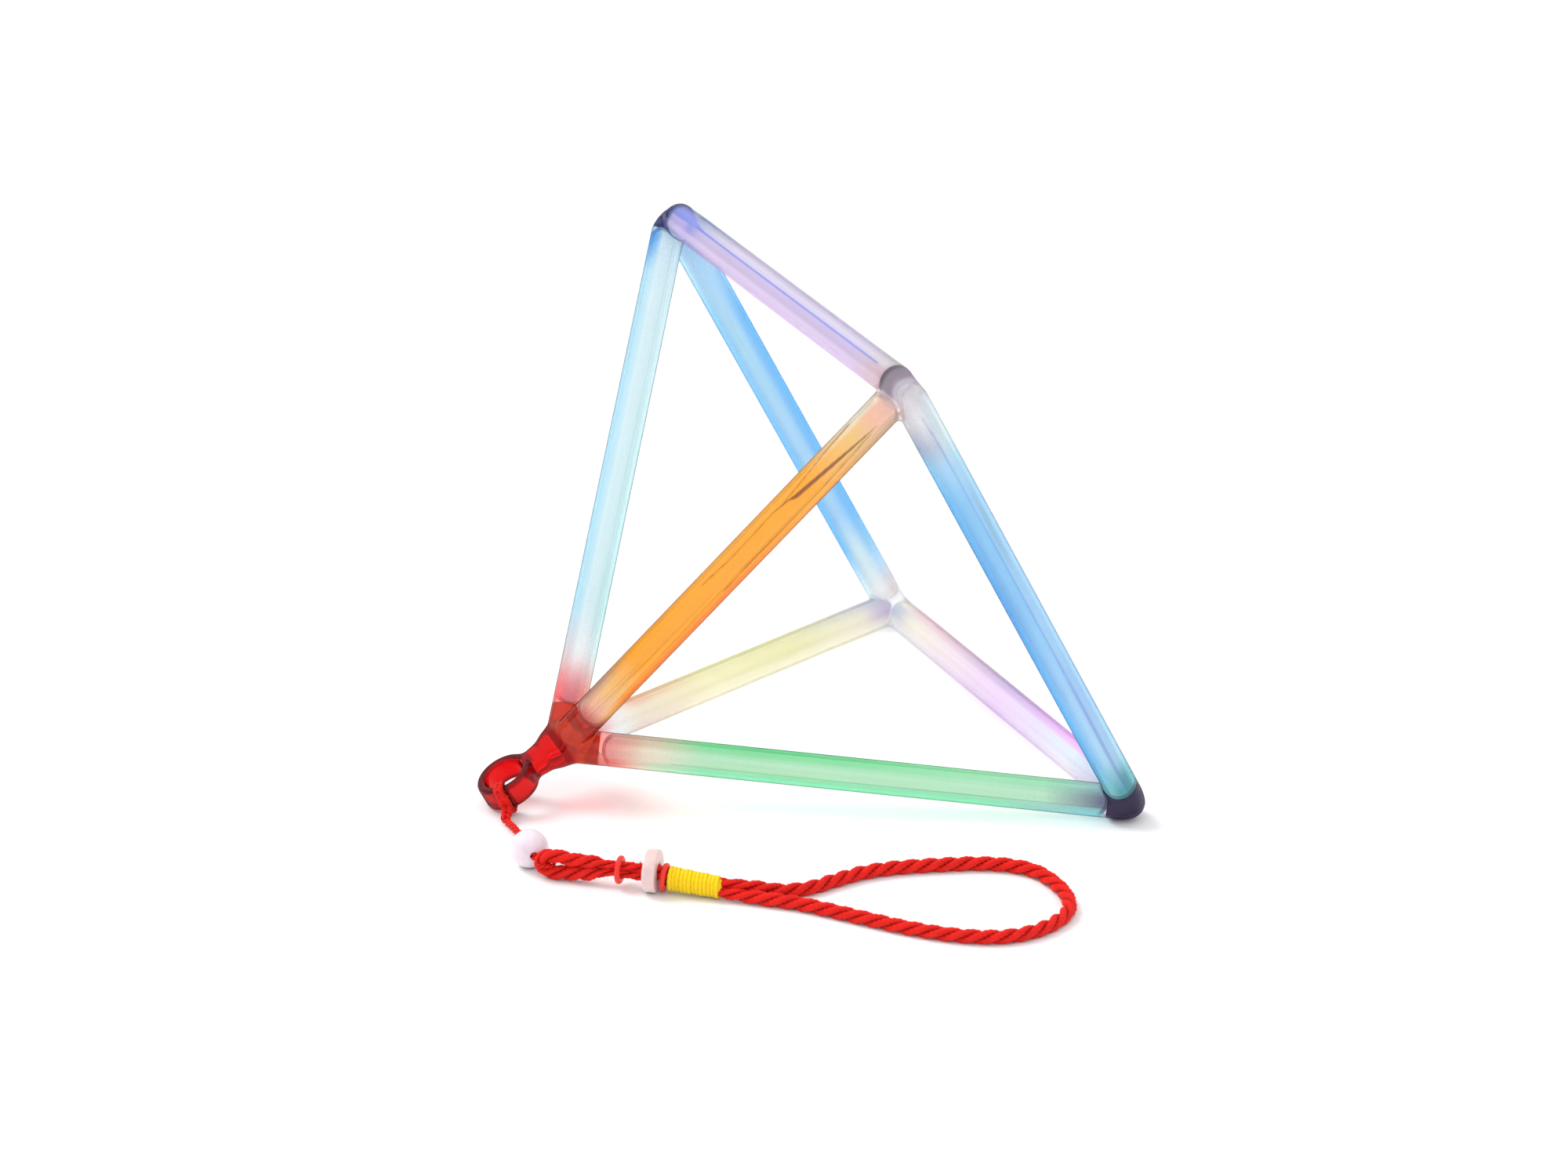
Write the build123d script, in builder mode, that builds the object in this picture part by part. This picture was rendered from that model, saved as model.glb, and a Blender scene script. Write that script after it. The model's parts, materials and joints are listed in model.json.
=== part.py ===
from build123d import *

import os
from math import asin, atan2, cos, hypot, radians, sin

# A skeleton pyramid of eight hollow coloured glass tubes, fused at five joints. It lies on one edge of its square
# base and on the hanging ring at its apex. A red cord hangs from the ring, with a bead, a stone disc between two
# O-rings, a yellow whipping and a hand loop, all laid out on the table.
#
# Millimetres, +Z up, z = 0 is the table. The origin is on the table, below the middle of the base edge that lies
# on it. +X runs from the apex towards that edge. y = 0 is the pyramid's plane of symmetry.

# ---- Glass frame ----
EDGE = 143.4  # base edge, tube axis to tube axis: 152.4 over the outside of the tubes
HEIGHT = 110.3  # base plane to apex, along the axis
TUBE_R = 4.5
TUBE_WALL = 1.3
CORNER_SHIFT = 0.5  # the fused corner's ball sits this far inside the meeting point of the three axes
CORNER_R = TUBE_R + CORNER_SHIFT  # so the ball is tangent to the outer sides of the tubes
CORNER_STUB = 9.0  # solid glass along each tube from its corner
HUB_STUB = 10.5  # solid glass along each side tube from the apex
HUB_R = 5.8

# ---- Hanging ring at the apex ----
RING_REACH = 17.0  # apex to ring centre, along the pyramid's axis
RING_R = 7.7
RING_HOLE_R = 5.1
RING_WIDTH = 7.4
RIM_ROUND = 0.5
NECK_START = 3.0  # distances from the apex along the axis
NECK_WAIST = 6.4
NECK_END = 10.4
NECK_START_R = 4.95
NECK_WAIST_R = 4.2
NECK_END_R = 3.6

# ---- Cord sleeve round the ring, link cord and bead ----
FIT_GAP = 0.06  # radial room of the running fits
WRAP_ANGLE = -57.0  # place of the sleeve round the ring, from the side that faces away from the apex
WRAP_SPAN = 22.0
WRAP_THICK = 0.75
TAIL_R = 1.2
TAIL_DROP = 1.9  # the tail leaves the sleeve this far below the ring's mid-plane
LINK_R = 0.95
LINK_ROOT = Vector(-151.4, -11.9, 1.5)
ROOT_GAP = 0.2
BEAD_CENTRE = Vector(-155.2, -36.6, 5.0)
BEAD_R = 5.0
LINK_BEYOND = 0.1  # the thick part of the link ends this far past the bead
LINK_EYE_CORD_R = 0.5

# ---- Strap: small loop, O-rings, disc and whipping, in one upright plane through the disc's centre ----
STRAP_X = -132.0
STRAP_Y = -62.2
STRAP_HEADING = -38.5  # degrees from +X, seen from above
EYE_AT = -26.0  # distances along the strap are measured from the disc's centre
EYE_HEIGHT = 4.2
BIGHT_R = 2.4  # centre line of the small loop's round end, and of the link's eye that is threaded through it
SMALL_CORD_R = 1.5
BUNDLE_AT = -12.0
BUNDLE_HEIGHT = 4.75
BUNDLE_R = 2.14
O_RING_R = 2.95  # centre line of the O-ring's section
O_RING_SECTION_R = 0.75
FRONT_RING_AT = -8.6
REAR_RING_AT = 3.2
DISC_R = 5.6
DISC_THICK = 3.3
DISC_ROUND = 0.5
DISC_CORE_R = 1.93
DISC_CORE_START = -1.85
DISC_CORE_END = 2.0
BAND_CORE_START = 1.9
WHIP_START = 3.95
WHIP_END = 18.25
WHIP_START_HEIGHT = 4.1
WHIP_END_HEIGHT = 3.1
WHIP_START_R = 3.05
WHIP_END_R = 2.75
WHIP_BORE_GAP = 0.02

# ---- Hand loop, lying on the table ----
HAND_CORD_R = 1.8
HAND_ROOT_AT = 20.2
HAND_ROOT_HEIGHT = 2.6
HAND_ROOT_SPREAD = 0.9  # each of the two cords, either side of the strap's plane
HAND_LIE = 1.95  # height of the cord's centre line on the table

# ---- Lying pose: the axis dips until the two ground corners and the ring's lower rim all touch z = 0 ----
_rise = EDGE / 2 - RING_WIDTH / 2 + RIM_ROUND - CORNER_SHIFT
_run = HEIGHT + RING_REACH + RING_R - RIM_ROUND - CORNER_SHIFT
DIP = atan2(_rise, _run) + asin((CORNER_R - RIM_ROUND) / hypot(_rise, _run))
FOOT_HEIGHT = CORNER_R - CORNER_SHIFT * (cos(DIP) - sin(DIP))

UP_THE_BASE = Vector(-sin(DIP), 0, cos(DIP))
TO_APEX = Vector(-cos(DIP), 0, -sin(DIP))
SIDEWAYS = Vector(0, 1, 0)
PYRAMID = Plane(
    origin=Vector(0, 0, FOOT_HEIGHT) + UP_THE_BASE * (EDGE / 2), x_dir=UP_THE_BASE, z_dir=TO_APEX
)

HALF = EDGE / 2
APEX = PYRAMID.from_local_coords(Vector(0, 0, HEIGHT))
# Each corner's place in the base square: up the base, then sideways.
CORNER_SIDES = {
    "ground_near": (-1, -1),
    "ground_far": (-1, 1),
    "top_near": (1, -1),
    "top_far": (1, 1),
}
CORNERS = {
    name: PYRAMID.from_local_coords(Vector(up * HALF, side * HALF, 0))
    for name, (up, side) in CORNER_SIDES.items()
}

# ---- The strap's planes ----
ALONG = Vector(cos(radians(STRAP_HEADING)), sin(radians(STRAP_HEADING)), 0)
LEFT = Vector(-ALONG.Y, ALONG.X, 0)
STRAP_FOOT = Vector(STRAP_X, STRAP_Y, 0)
STRAP = Plane(origin=STRAP_FOOT, x_dir=ALONG, z_dir=-LEFT)  # local x along the strap, local y up


def on_strap(along, height, left=0.0):
    """A point in space from its distance along the strap, its height and its distance to the left."""
    return STRAP_FOOT + ALONG * along + LEFT * left + Vector(0, 0, height)


def save(part, name):
    part.label = name
    export_step(part, f"parts/{name}.step")


os.makedirs("parts", exist_ok=True)


# ---- Hollow tubes, with a round end to each bore ----
def glass_tube(name, start, end, start_trim, end_trim):
    """A sealed tube between two meeting points, cut short by the solid glass at each."""
    heading = (end - start).normalized()
    length = (end - start).length - start_trim - end_trim
    bore_r = TUBE_R - TUBE_WALL
    dome = TUBE_WALL + bore_r
    foot = Plane(origin=start + heading * start_trim, z_dir=heading)
    with BuildPart(foot) as tube:
        with BuildSketch(foot):
            Circle(TUBE_R)
        extrude(amount=length)
        with Locations((0, 0, length / 2)):
            Cylinder(bore_r, length - 2 * dome, mode=Mode.SUBTRACT)
        with Locations((0, 0, dome), (0, 0, length - dome)):
            Sphere(bore_r, mode=Mode.SUBTRACT)
    save(tube.part, name)


glass_tube("cyan_side_tube", APEX, CORNERS["top_far"], HUB_STUB, CORNER_STUB)
glass_tube("orange_side_tube", APEX, CORNERS["top_near"], HUB_STUB, CORNER_STUB)
glass_tube("yellow_side_tube", APEX, CORNERS["ground_far"], HUB_STUB, CORNER_STUB)
glass_tube("green_side_tube", APEX, CORNERS["ground_near"], HUB_STUB, CORNER_STUB)
glass_tube("top_lilac_tube", CORNERS["top_far"], CORNERS["top_near"], CORNER_STUB, CORNER_STUB)
glass_tube("near_blue_tube", CORNERS["top_near"], CORNERS["ground_near"], CORNER_STUB, CORNER_STUB)
glass_tube("ground_lilac_tube", CORNERS["ground_near"], CORNERS["ground_far"], CORNER_STUB, CORNER_STUB)
glass_tube("far_blue_tube", CORNERS["ground_far"], CORNERS["top_far"], CORNER_STUB, CORNER_STUB)


# ---- Solid fused corners ----
def fused_corner(name):
    """The solid glass where two base tubes and one side tube melt together."""
    vertex = CORNERS[name]
    up, side = CORNER_SIDES[name]
    ball = Vector(up * (HALF - CORNER_SHIFT), side * (HALF - CORNER_SHIFT), CORNER_SHIFT)
    beside = PYRAMID.from_local_coords(Vector(up * HALF, -side * HALF, 0))
    across = PYRAMID.from_local_coords(Vector(-up * HALF, side * HALF, 0))
    with BuildPart() as corner:
        with Locations(PYRAMID.from_local_coords(ball)):
            Sphere(CORNER_R)
        for target in (beside, across, APEX):
            with BuildSketch(Plane(origin=vertex, z_dir=target - vertex)):
                Circle(TUBE_R)
            extrude(amount=CORNER_STUB)
    save(corner.part, f"{name}_corner")


for corner_name in CORNERS:
    fused_corner(corner_name)


# ---- Apex hub, where the four side tubes melt together ----
with BuildPart() as apex_hub:
    with Locations(APEX):
        Sphere(HUB_R)
    for vertex in CORNERS.values():
        with BuildSketch(Plane(origin=APEX, z_dir=vertex - APEX)):
            Circle(TUBE_R)
        extrude(amount=HUB_STUB)
    split(bisect_by=Plane(origin=APEX + TO_APEX * NECK_START, z_dir=TO_APEX), keep=Keep.BOTTOM)
save(apex_hub.part, "apex_hub")


# ---- Hanging ring: its hole is square to the pyramid's axis, in the plane of symmetry ----
RING_CENTRE = APEX + TO_APEX * RING_REACH
RING_AXIS = Axis(RING_CENTRE, UP_THE_BASE)
RING_FOOT = Plane(origin=RING_CENTRE - UP_THE_BASE * (RING_WIDTH / 2), z_dir=UP_THE_BASE)

with BuildPart() as lug_ring:
    with BuildSketch(RING_FOOT):
        Circle(RING_R)
        Circle(RING_HOLE_R, mode=Mode.SUBTRACT)
    extrude(amount=RING_WIDTH)
    fillet(lug_ring.edges().filter_by(GeomType.CIRCLE), RIM_ROUND)
save(lug_ring.part, "lug_ring")


# ---- Waisted neck from the hub to the ring's outer wall ----
with BuildPart() as lug_neck:
    with BuildSketch(Plane(origin=APEX, x_dir=SIDEWAYS, z_dir=SIDEWAYS.cross(TO_APEX))):
        with BuildLine():
            Polyline((NECK_END_R, NECK_END), (0, NECK_END), (0, NECK_START), (NECK_START_R, NECK_START))
            Spline((NECK_START_R, NECK_START), (NECK_WAIST_R, NECK_WAIST), (NECK_END_R, NECK_END))
        make_face()
    revolve(axis=Axis(APEX, TO_APEX))
    with BuildSketch(RING_FOOT):
        Circle(RING_R)
    extrude(amount=RING_WIDTH, mode=Mode.SUBTRACT)
save(lug_neck.part, "lug_neck")


# ---- Cord sleeve round the ring's wall, with a short tail towards the link cord ----
def from_ring(angle):
    """The direction out from the ring's centre, turned from the far side towards +Y."""
    return TO_APEX * cos(radians(angle)) + SIDEWAYS * sin(radians(angle))


WRAP_OUT = from_ring(WRAP_ANGLE)
WRAP_START_OUT = from_ring(WRAP_ANGLE + WRAP_SPAN / 2)
WALL_MIDDLE = (RING_R + RING_HOLE_R) / 2
WALL_THICK = RING_R - RING_HOLE_R
TAIL_START = RING_CENTRE + WRAP_OUT * (RING_R + FIT_GAP + TAIL_R) - UP_THE_BASE * TAIL_DROP
TAIL_RUN = LINK_ROOT - TAIL_START

with BuildPart() as ring_wrap:
    sleeve_section = Plane(
        origin=RING_CENTRE + WRAP_START_OUT * WALL_MIDDLE,
        x_dir=WRAP_START_OUT,
        z_dir=WRAP_START_OUT.cross(UP_THE_BASE),
    )
    room = 2 * FIT_GAP
    with BuildSketch(sleeve_section):
        RectangleRounded(
            WALL_THICK + room + 2 * WRAP_THICK, RING_WIDTH + room + 2 * WRAP_THICK, WRAP_THICK
        )
        Rectangle(WALL_THICK + room, RING_WIDTH + room, mode=Mode.SUBTRACT)
    revolve(axis=RING_AXIS, revolution_arc=WRAP_SPAN)
    with Locations(TAIL_START):
        Sphere(TAIL_R)
    with BuildSketch(Plane(origin=TAIL_START, z_dir=TAIL_RUN)):
        Circle(TAIL_R)
    extrude(amount=TAIL_RUN.length - LINK_R - ROOT_GAP)
save(ring_wrap.part, "ring_wrap_cord")


# ---- Link cord: round root, up to the bead, level through its hole, then a closed eye ----
HOLE_HEADING = Vector(BEAD_CENTRE.X - LINK_ROOT.X, BEAD_CENTRE.Y - LINK_ROOT.Y, 0).normalized()
BEFORE_BEAD = BEAD_CENTRE - HOLE_HEADING * (BEAD_R + 0.4)
AFTER_BEAD = BEAD_CENTRE + HOLE_HEADING * (BEAD_R + LINK_BEYOND)
LINK_EYE = on_strap(EYE_AT - BIGHT_R, EYE_HEIGHT)
TO_BEAD = Vector(AFTER_BEAD.X - LINK_EYE.X, AFTER_BEAD.Y - LINK_EYE.Y, 0).normalized()
EYE_BACK = LINK_EYE + TO_BEAD * BIGHT_R

with BuildPart() as link_cord:
    with Locations(LINK_ROOT, BEFORE_BEAD):
        Sphere(LINK_R)
    with BuildSketch(Plane(origin=LINK_ROOT, z_dir=BEFORE_BEAD - LINK_ROOT)):
        Circle(LINK_R)
    extrude(amount=(BEFORE_BEAD - LINK_ROOT).length)
    with BuildSketch(Plane(origin=BEFORE_BEAD, z_dir=HOLE_HEADING)):
        Circle(LINK_R)
    extrude(amount=(AFTER_BEAD - BEFORE_BEAD).length)
    with BuildSketch(Plane(origin=AFTER_BEAD, z_dir=EYE_BACK - AFTER_BEAD)):
        Circle(LINK_EYE_CORD_R)
    extrude(amount=(EYE_BACK - AFTER_BEAD).length)
    with Locations(LINK_EYE):
        Torus(BIGHT_R, LINK_EYE_CORD_R)
save(link_cord.part, "link_cord")


# ---- Bead, turning on the link cord ----
with BuildPart(Plane(origin=BEAD_CENTRE, z_dir=HOLE_HEADING)) as bead:
    Sphere(BEAD_R)
    Cylinder(LINK_R + FIT_GAP, 2 * BEAD_R, mode=Mode.SUBTRACT)
save(bead.part, "milky_bead")


# ---- Small loop: a round end on edge, two legs that close up, and the bundle that the front O-ring grips ----
LEG_END_SPREAD = 0.45
LEG_END = (BUNDLE_AT + 1.0, LEG_END_SPREAD)

with BuildPart() as small_loop:
    with BuildLine() as small_loop_path:
        lower = Spline(
            STRAP.from_local_coords((LEG_END[0], BUNDLE_HEIGHT - LEG_END[1])),
            STRAP.from_local_coords((EYE_AT, EYE_HEIGHT - BIGHT_R)),
            tangents=(-ALONG, -ALONG),
        )
        round_end = ThreePointArc(
            STRAP.from_local_coords((EYE_AT, EYE_HEIGHT - BIGHT_R)),
            STRAP.from_local_coords((EYE_AT - BIGHT_R, EYE_HEIGHT)),
            STRAP.from_local_coords((EYE_AT, EYE_HEIGHT + BIGHT_R)),
        )
        upper = Spline(
            STRAP.from_local_coords((EYE_AT, EYE_HEIGHT + BIGHT_R)),
            STRAP.from_local_coords((LEG_END[0], BUNDLE_HEIGHT + LEG_END[1])),
            tangents=(ALONG, ALONG),
        )
    for leg in (lower, round_end, upper):
        with BuildSketch(Plane(origin=leg @ 0, z_dir=leg % 0)):
            Circle(SMALL_CORD_R)
        sweep(path=leg)
    with BuildSketch(Plane(origin=on_strap(BUNDLE_AT, BUNDLE_HEIGHT), z_dir=ALONG)):
        Circle(BUNDLE_R)
    extrude(amount=DISC_CORE_START - BUNDLE_AT)
save(small_loop.part, "small_loop_cord")


# ---- Core cord: level through the disc, then along the whipping ----
WHIP_RUN = on_strap(WHIP_END, WHIP_END_HEIGHT) - on_strap(WHIP_START, WHIP_START_HEIGHT)
WHIP_HEADING = WHIP_RUN.normalized()
WHIP_FOOT = on_strap(WHIP_START, WHIP_START_HEIGHT)
BAND_CORE_FOOT = WHIP_FOOT - WHIP_HEADING * (WHIP_START - BAND_CORE_START)

with BuildPart() as core_cord:
    with BuildSketch(Plane(origin=on_strap(DISC_CORE_START, DISC_R), z_dir=ALONG)):
        Circle(DISC_CORE_R)
    extrude(amount=DISC_CORE_END - DISC_CORE_START)
    with BuildSketch(Plane(origin=BAND_CORE_FOOT, z_dir=WHIP_HEADING)):
        Circle(BUNDLE_R)
    extrude(amount=(WHIP_START - BAND_CORE_START) + WHIP_RUN.length)
save(core_cord.part, "core_cord")


# ---- O-rings either side of the disc ----
def o_ring(name, centre, heading):
    with BuildPart(Plane(origin=centre, z_dir=heading)) as ring:
        Torus(O_RING_R, O_RING_SECTION_R)
    save(ring.part, name)


REAR_RING_CENTRE = WHIP_FOOT - WHIP_HEADING * (WHIP_START - REAR_RING_AT)
o_ring("front_o_ring", on_strap(FRONT_RING_AT, BUNDLE_HEIGHT), ALONG)
o_ring("rear_o_ring", REAR_RING_CENTRE, WHIP_HEADING)


# ---- Stone disc, turning on the core cord ----
with BuildPart() as stone_disc:
    with BuildSketch(Plane(origin=on_strap(-DISC_THICK / 2, DISC_R), z_dir=ALONG)):
        Circle(DISC_R)
        Circle(DISC_CORE_R + FIT_GAP, mode=Mode.SUBTRACT)
    extrude(amount=DISC_THICK)
    fillet(stone_disc.edges().filter_by(GeomType.CIRCLE).sort_by(SortBy.RADIUS)[-2:], DISC_ROUND)
save(stone_disc.part, "stone_disc")


# ---- Yellow whipping, a tapering sleeve of thread round the core ----
WHIP_BORE_R = BUNDLE_R + WHIP_BORE_GAP

with BuildPart() as whipping:
    with BuildSketch(Plane(origin=WHIP_FOOT, x_dir=LEFT, z_dir=LEFT.cross(WHIP_HEADING))):
        with BuildLine():
            Polyline(
                (WHIP_BORE_R, 0),
                (WHIP_START_R, 0),
                (WHIP_END_R, WHIP_RUN.length),
                (WHIP_BORE_R, WHIP_RUN.length),
                close=True,
            )
        make_face()
    revolve(axis=Axis(WHIP_FOOT, WHIP_HEADING))
save(whipping.part, "yellow_whipping")


# ---- Hand loop: two cords from a round root, spreading into one flat loop on the table ----
def cord_path(points, lift=HAND_LIE):
    """Points on the table, each a distance along the strap and a distance to its left."""
    return [on_strap(along, lift, left) for along, left in points]


ROOT_NEAR = on_strap(HAND_ROOT_AT, HAND_ROOT_HEIGHT, -HAND_ROOT_SPREAD)
ROOT_FAR = on_strap(HAND_ROOT_AT, HAND_ROOT_HEIGHT, HAND_ROOT_SPREAD)
NEAR_SIDE = cord_path([(38, -1.2), (57, -5.2), (78, -8.5), (93, -5.9), (101.6, 1.6)])
FAR_SIDE = cord_path([(33, 4.8), (44.5, 14.8), (56.5, 25.4), (70, 31.5), (84.5, 35.2), (96.5, 30.6)])
TIP = on_strap(105.2, HAND_LIE, 13.0)

with BuildPart() as hand_loop:
    with BuildLine() as hand_loop_path:
        near = Spline(ROOT_NEAR, *NEAR_SIDE, TIP, tangents=(ALONG, LEFT), tangent_scalars=(1, 0.6))
        far = Spline(ROOT_FAR, *FAR_SIDE, TIP, tangents=(ALONG, -LEFT), tangent_scalars=(1, 0.6))
    for side in (near, far):
        with BuildSketch(Plane(origin=side @ 0, z_dir=side % 0)):
            Circle(HAND_CORD_R)
        sweep(path=side)
    with Locations(ROOT_NEAR, ROOT_FAR):
        Sphere(HAND_CORD_R)
save(hand_loop.part, "hand_loop_cord")
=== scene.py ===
import json
import math

import bmesh
import bpy
import numpy as np
from mathutils import Matrix, Vector


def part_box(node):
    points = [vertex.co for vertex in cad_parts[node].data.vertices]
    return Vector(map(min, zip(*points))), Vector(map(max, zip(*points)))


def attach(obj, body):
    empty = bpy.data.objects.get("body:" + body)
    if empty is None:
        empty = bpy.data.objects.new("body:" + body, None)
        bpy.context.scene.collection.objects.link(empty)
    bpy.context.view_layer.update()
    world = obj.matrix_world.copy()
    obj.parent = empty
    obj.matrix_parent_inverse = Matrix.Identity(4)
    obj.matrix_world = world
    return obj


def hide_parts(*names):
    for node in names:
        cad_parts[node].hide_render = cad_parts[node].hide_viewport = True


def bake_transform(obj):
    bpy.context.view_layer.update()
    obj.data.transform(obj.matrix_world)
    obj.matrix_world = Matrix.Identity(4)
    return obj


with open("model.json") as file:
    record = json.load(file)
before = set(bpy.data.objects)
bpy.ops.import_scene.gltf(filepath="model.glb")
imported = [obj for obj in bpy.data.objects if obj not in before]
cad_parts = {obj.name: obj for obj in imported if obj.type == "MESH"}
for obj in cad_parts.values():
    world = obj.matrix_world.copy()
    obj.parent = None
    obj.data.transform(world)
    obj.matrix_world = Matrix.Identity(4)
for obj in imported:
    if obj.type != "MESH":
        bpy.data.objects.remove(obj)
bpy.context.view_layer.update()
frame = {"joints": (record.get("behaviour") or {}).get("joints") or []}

MM = 0.001
RNG = np.random.default_rng(7)


# Places, all in millimetres, read from the CAD frame
TUBE_R = 4.5
BORE_R = 3.2
CORNER_STUB = 9.0
HUB_STUB = 10.5
HEIGHT = 110.3
RING_REACH, RING_R, RING_HOLE_R, RING_HALF = 17.0, 7.7, 5.25, 3.45
NECK_START, RING_START = 3.0, 8.7
HUB_R, HUB_HEART_R, HEART_R = 5.5, 5.2, 4.15
ROPE_R, HAND_ROPE_R = 1.86, 1.82
O_RING_R, O_RING_SECTION_R = 2.95, 0.75
SKIN_SIDES, BORE_SIDES = 72, 96
CORNER_GRID = 0.36
BEAD_R = 5.0


def mm(v):
    return np.array(v, float) / MM


def unit(v):
    v = np.asarray(v, float)
    return v / np.linalg.norm(v)


def box_mm(node):
    lo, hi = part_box(node)
    return mm(lo), mm(hi)


top_lo, top_hi = box_mm("top_lilac_tube")
ground_lo, ground_hi = box_mm("ground_lilac_tube")
HALF = top_hi[1] + CORNER_STUB
TOP = (top_lo + top_hi) / 2
GROUND = (ground_lo + ground_hi) / 2
UP_BASE = unit(TOP - GROUND)
TO_APEX = np.array([-UP_BASE[2], 0.0, UP_BASE[0]])
SIDE = np.array([0.0, 1.0, 0.0])
APEX = (TOP + GROUND) / 2 + TO_APEX * HEIGHT
POINTS = {
    "apex": APEX,
    "top_far": TOP + SIDE * HALF,
    "top_near": TOP - SIDE * HALF,
    "ground_near": GROUND - SIDE * HALF,
    "ground_far": GROUND + SIDE * HALF,
}
RING_CENTRE = APEX + TO_APEX * RING_REACH

JOINTS = {j["name"]: j for j in frame["joints"]}
LINK_ROOT = mm(JOINTS["link_swing"]["pos_m"])
BEAD = mm(JOINTS["bead_spin"]["pos_m"])
BEAD_AXIS = unit(JOINTS["bead_spin"]["axis"])
EYE = mm(JOINTS["strap_lift"]["pos_m"])
DISC = mm(JOINTS["disc_spin"]["pos_m"])
ALONG = unit(JOINTS["disc_spin"]["axis"])
LEFT = np.array([-ALONG[1], ALONG[0], 0.0])
UP = np.array([0.0, 0.0, 1.0])
WHIP_AXIS = unit(JOINTS["o_ring_rear_slide"]["axis"])
STRAP_FOOT = np.array([DISC[0], DISC[1], 0.0])


# Camera: the long lens that looks down at the near left side
CAM_POS = np.array([-689.0, -1329.0, 660.0])
CAM_FWD = unit([0.391, 0.836, -0.384])
CAM_UP = unit([0.149, 0.355, 0.923])
CAM_RIGHT = np.cross(CAM_FWD, CAM_UP)


def on_strap(along, height, left=0.0):
    return STRAP_FOOT + ALONG * along + LEFT * left + UP * height



# Mesh helpers
def linear(hex_code):
    rgb = [int(hex_code[i : i + 2], 16) / 255 for i in (0, 2, 4)]
    return np.array([c / 12.92 if c <= 0.04045 else ((c + 0.055) / 1.055) ** 2.4 for c in rgb])


def smoothstep(a, b, x):
    t = np.clip((x - a) / (b - a), 0.0, 1.0)
    return t * t * (3 - 2 * t)


def lerp(a, b, k):
    return a * (1 - k) + b * k


def window(x, a, b, c, d):
    """Rises from 0 to 1 between a and b, and falls back between c and d."""
    return smoothstep(a, b, x) * (1 - smoothstep(c, d, x))


def rgba(colour, alpha=1.0):
    a = np.broadcast_to(np.asarray(alpha, float).reshape(-1, 1), (len(colour), 1))
    return np.hstack([colour, a])


def grey(values):
    return rgba(np.stack([values] * 3, 1))


def make_mesh(name, verts, faces, material, colours=None, uv=None, smooth=True):
    """A new object from millimetre vertices. colours maps attribute names to one RGBA per vertex."""
    mesh = bpy.data.meshes.new(name)
    polygons = [tuple(int(i) for i in face) for face in faces]
    mesh.from_pydata((np.asarray(verts, float) * MM).tolist(), [], polygons)
    mesh.update()
    if smooth:
        mesh.polygons.foreach_set("use_smooth", [True] * len(mesh.polygons))
    for key, values in (colours or {}).items():
        layer = mesh.color_attributes.new(key, "FLOAT_COLOR", "POINT")
        layer.data.foreach_set("color", np.asarray(values, np.float32).ravel())
    if uv is not None:
        layer = mesh.uv_layers.new(name="UVMap")
        loops = np.zeros(len(mesh.loops), np.int32)
        mesh.loops.foreach_get("vertex_index", loops)
        layer.data.foreach_set("uv", np.asarray(uv, np.float32)[loops].ravel())
    mesh.materials.append(material)
    obj = bpy.data.objects.new(name, mesh)
    bpy.context.scene.collection.objects.link(obj)
    return obj


def place(obj, body, nodes):
    """Says which body carries a piece, which CAD nodes it stands for."""
    if body:
        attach(obj, body)
    for node in nodes:
        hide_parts(node)
    return obj


def merge(parts):
    """Joins (verts, faces, uv, height) sets; height is 1 on a cord's crests and less in its grooves, and
    cord() paints shade into the cord from it.
    """
    verts, faces, uvs, heights, base = [], [], [], [], 0
    for v, f, u, h in parts:
        verts.append(v)
        uvs.append(u)
        heights.append(h)
        faces.extend([tuple(i + base for i in face) for face in f])
        base += len(v)
    return np.vstack(verts), faces, np.vstack(uvs), np.concatenate(heights)


def tangents(p):
    t = np.gradient(p, axis=0)
    return t / np.linalg.norm(t, axis=1)[:, None]


def frames(path):
    """Rotation-minimising frames along a path: tangents, normals and binormals."""
    p = np.asarray(path, float)
    t = tangents(p)
    first = UP if abs(t[0] @ UP) < 0.9 else SIDE
    n = np.empty_like(p)
    n[0] = unit(first - t[0] * (first @ t[0]))
    for i in range(len(p) - 1):
        step = p[i + 1] - p[i]
        c = step @ step
        r = n[i] - step * (2 / c * (step @ n[i]))
        tr = t[i] - step * (2 / c * (step @ t[i]))
        back = t[i + 1] - tr
        d = back @ back
        n[i + 1] = unit(r - back * (2 / d * (back @ r))) if d > 1e-14 else r
    return t, n, np.cross(t, n)


def arc_lengths(path):
    return np.concatenate([[0], np.cumsum(np.linalg.norm(np.diff(path, axis=0), axis=1))])


def resample(path, step):
    s = arc_lengths(path)
    count = max(int(round(s[-1] / step)) + 1, 4)
    x = np.linspace(0, s[-1], count)
    return np.stack([np.interp(x, s, np.asarray(path)[:, k]) for k in range(3)], 1)


def spline(points, step):
    """A centripetal Catmull-Rom curve through the points, evenly sampled."""
    p = np.asarray(points, float)
    p = np.vstack([2 * p[0] - p[1], p, 2 * p[-1] - p[-2]])
    out = []
    for i in range(1, len(p) - 2):
        near = p[i - 1 : i + 3]
        t = np.concatenate([[0], np.cumsum(np.linalg.norm(np.diff(near, axis=0), axis=1) ** 0.5)])
        x = np.linspace(t[1], t[2], 40, endpoint=False)[:, None]

        def between(a, b, i, j):
            return (t[j] - x) / (t[j] - t[i]) * a + (x - t[i]) / (t[j] - t[i]) * b

        a1, a2, a3 = (between(near[k], near[k + 1], k, k + 1) for k in range(3))
        out.append(between(between(a1, a2, 0, 2), between(a2, a3, 1, 3), 1, 2))
    return resample(np.vstack(out + [p[-2][None]]), step)


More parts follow.
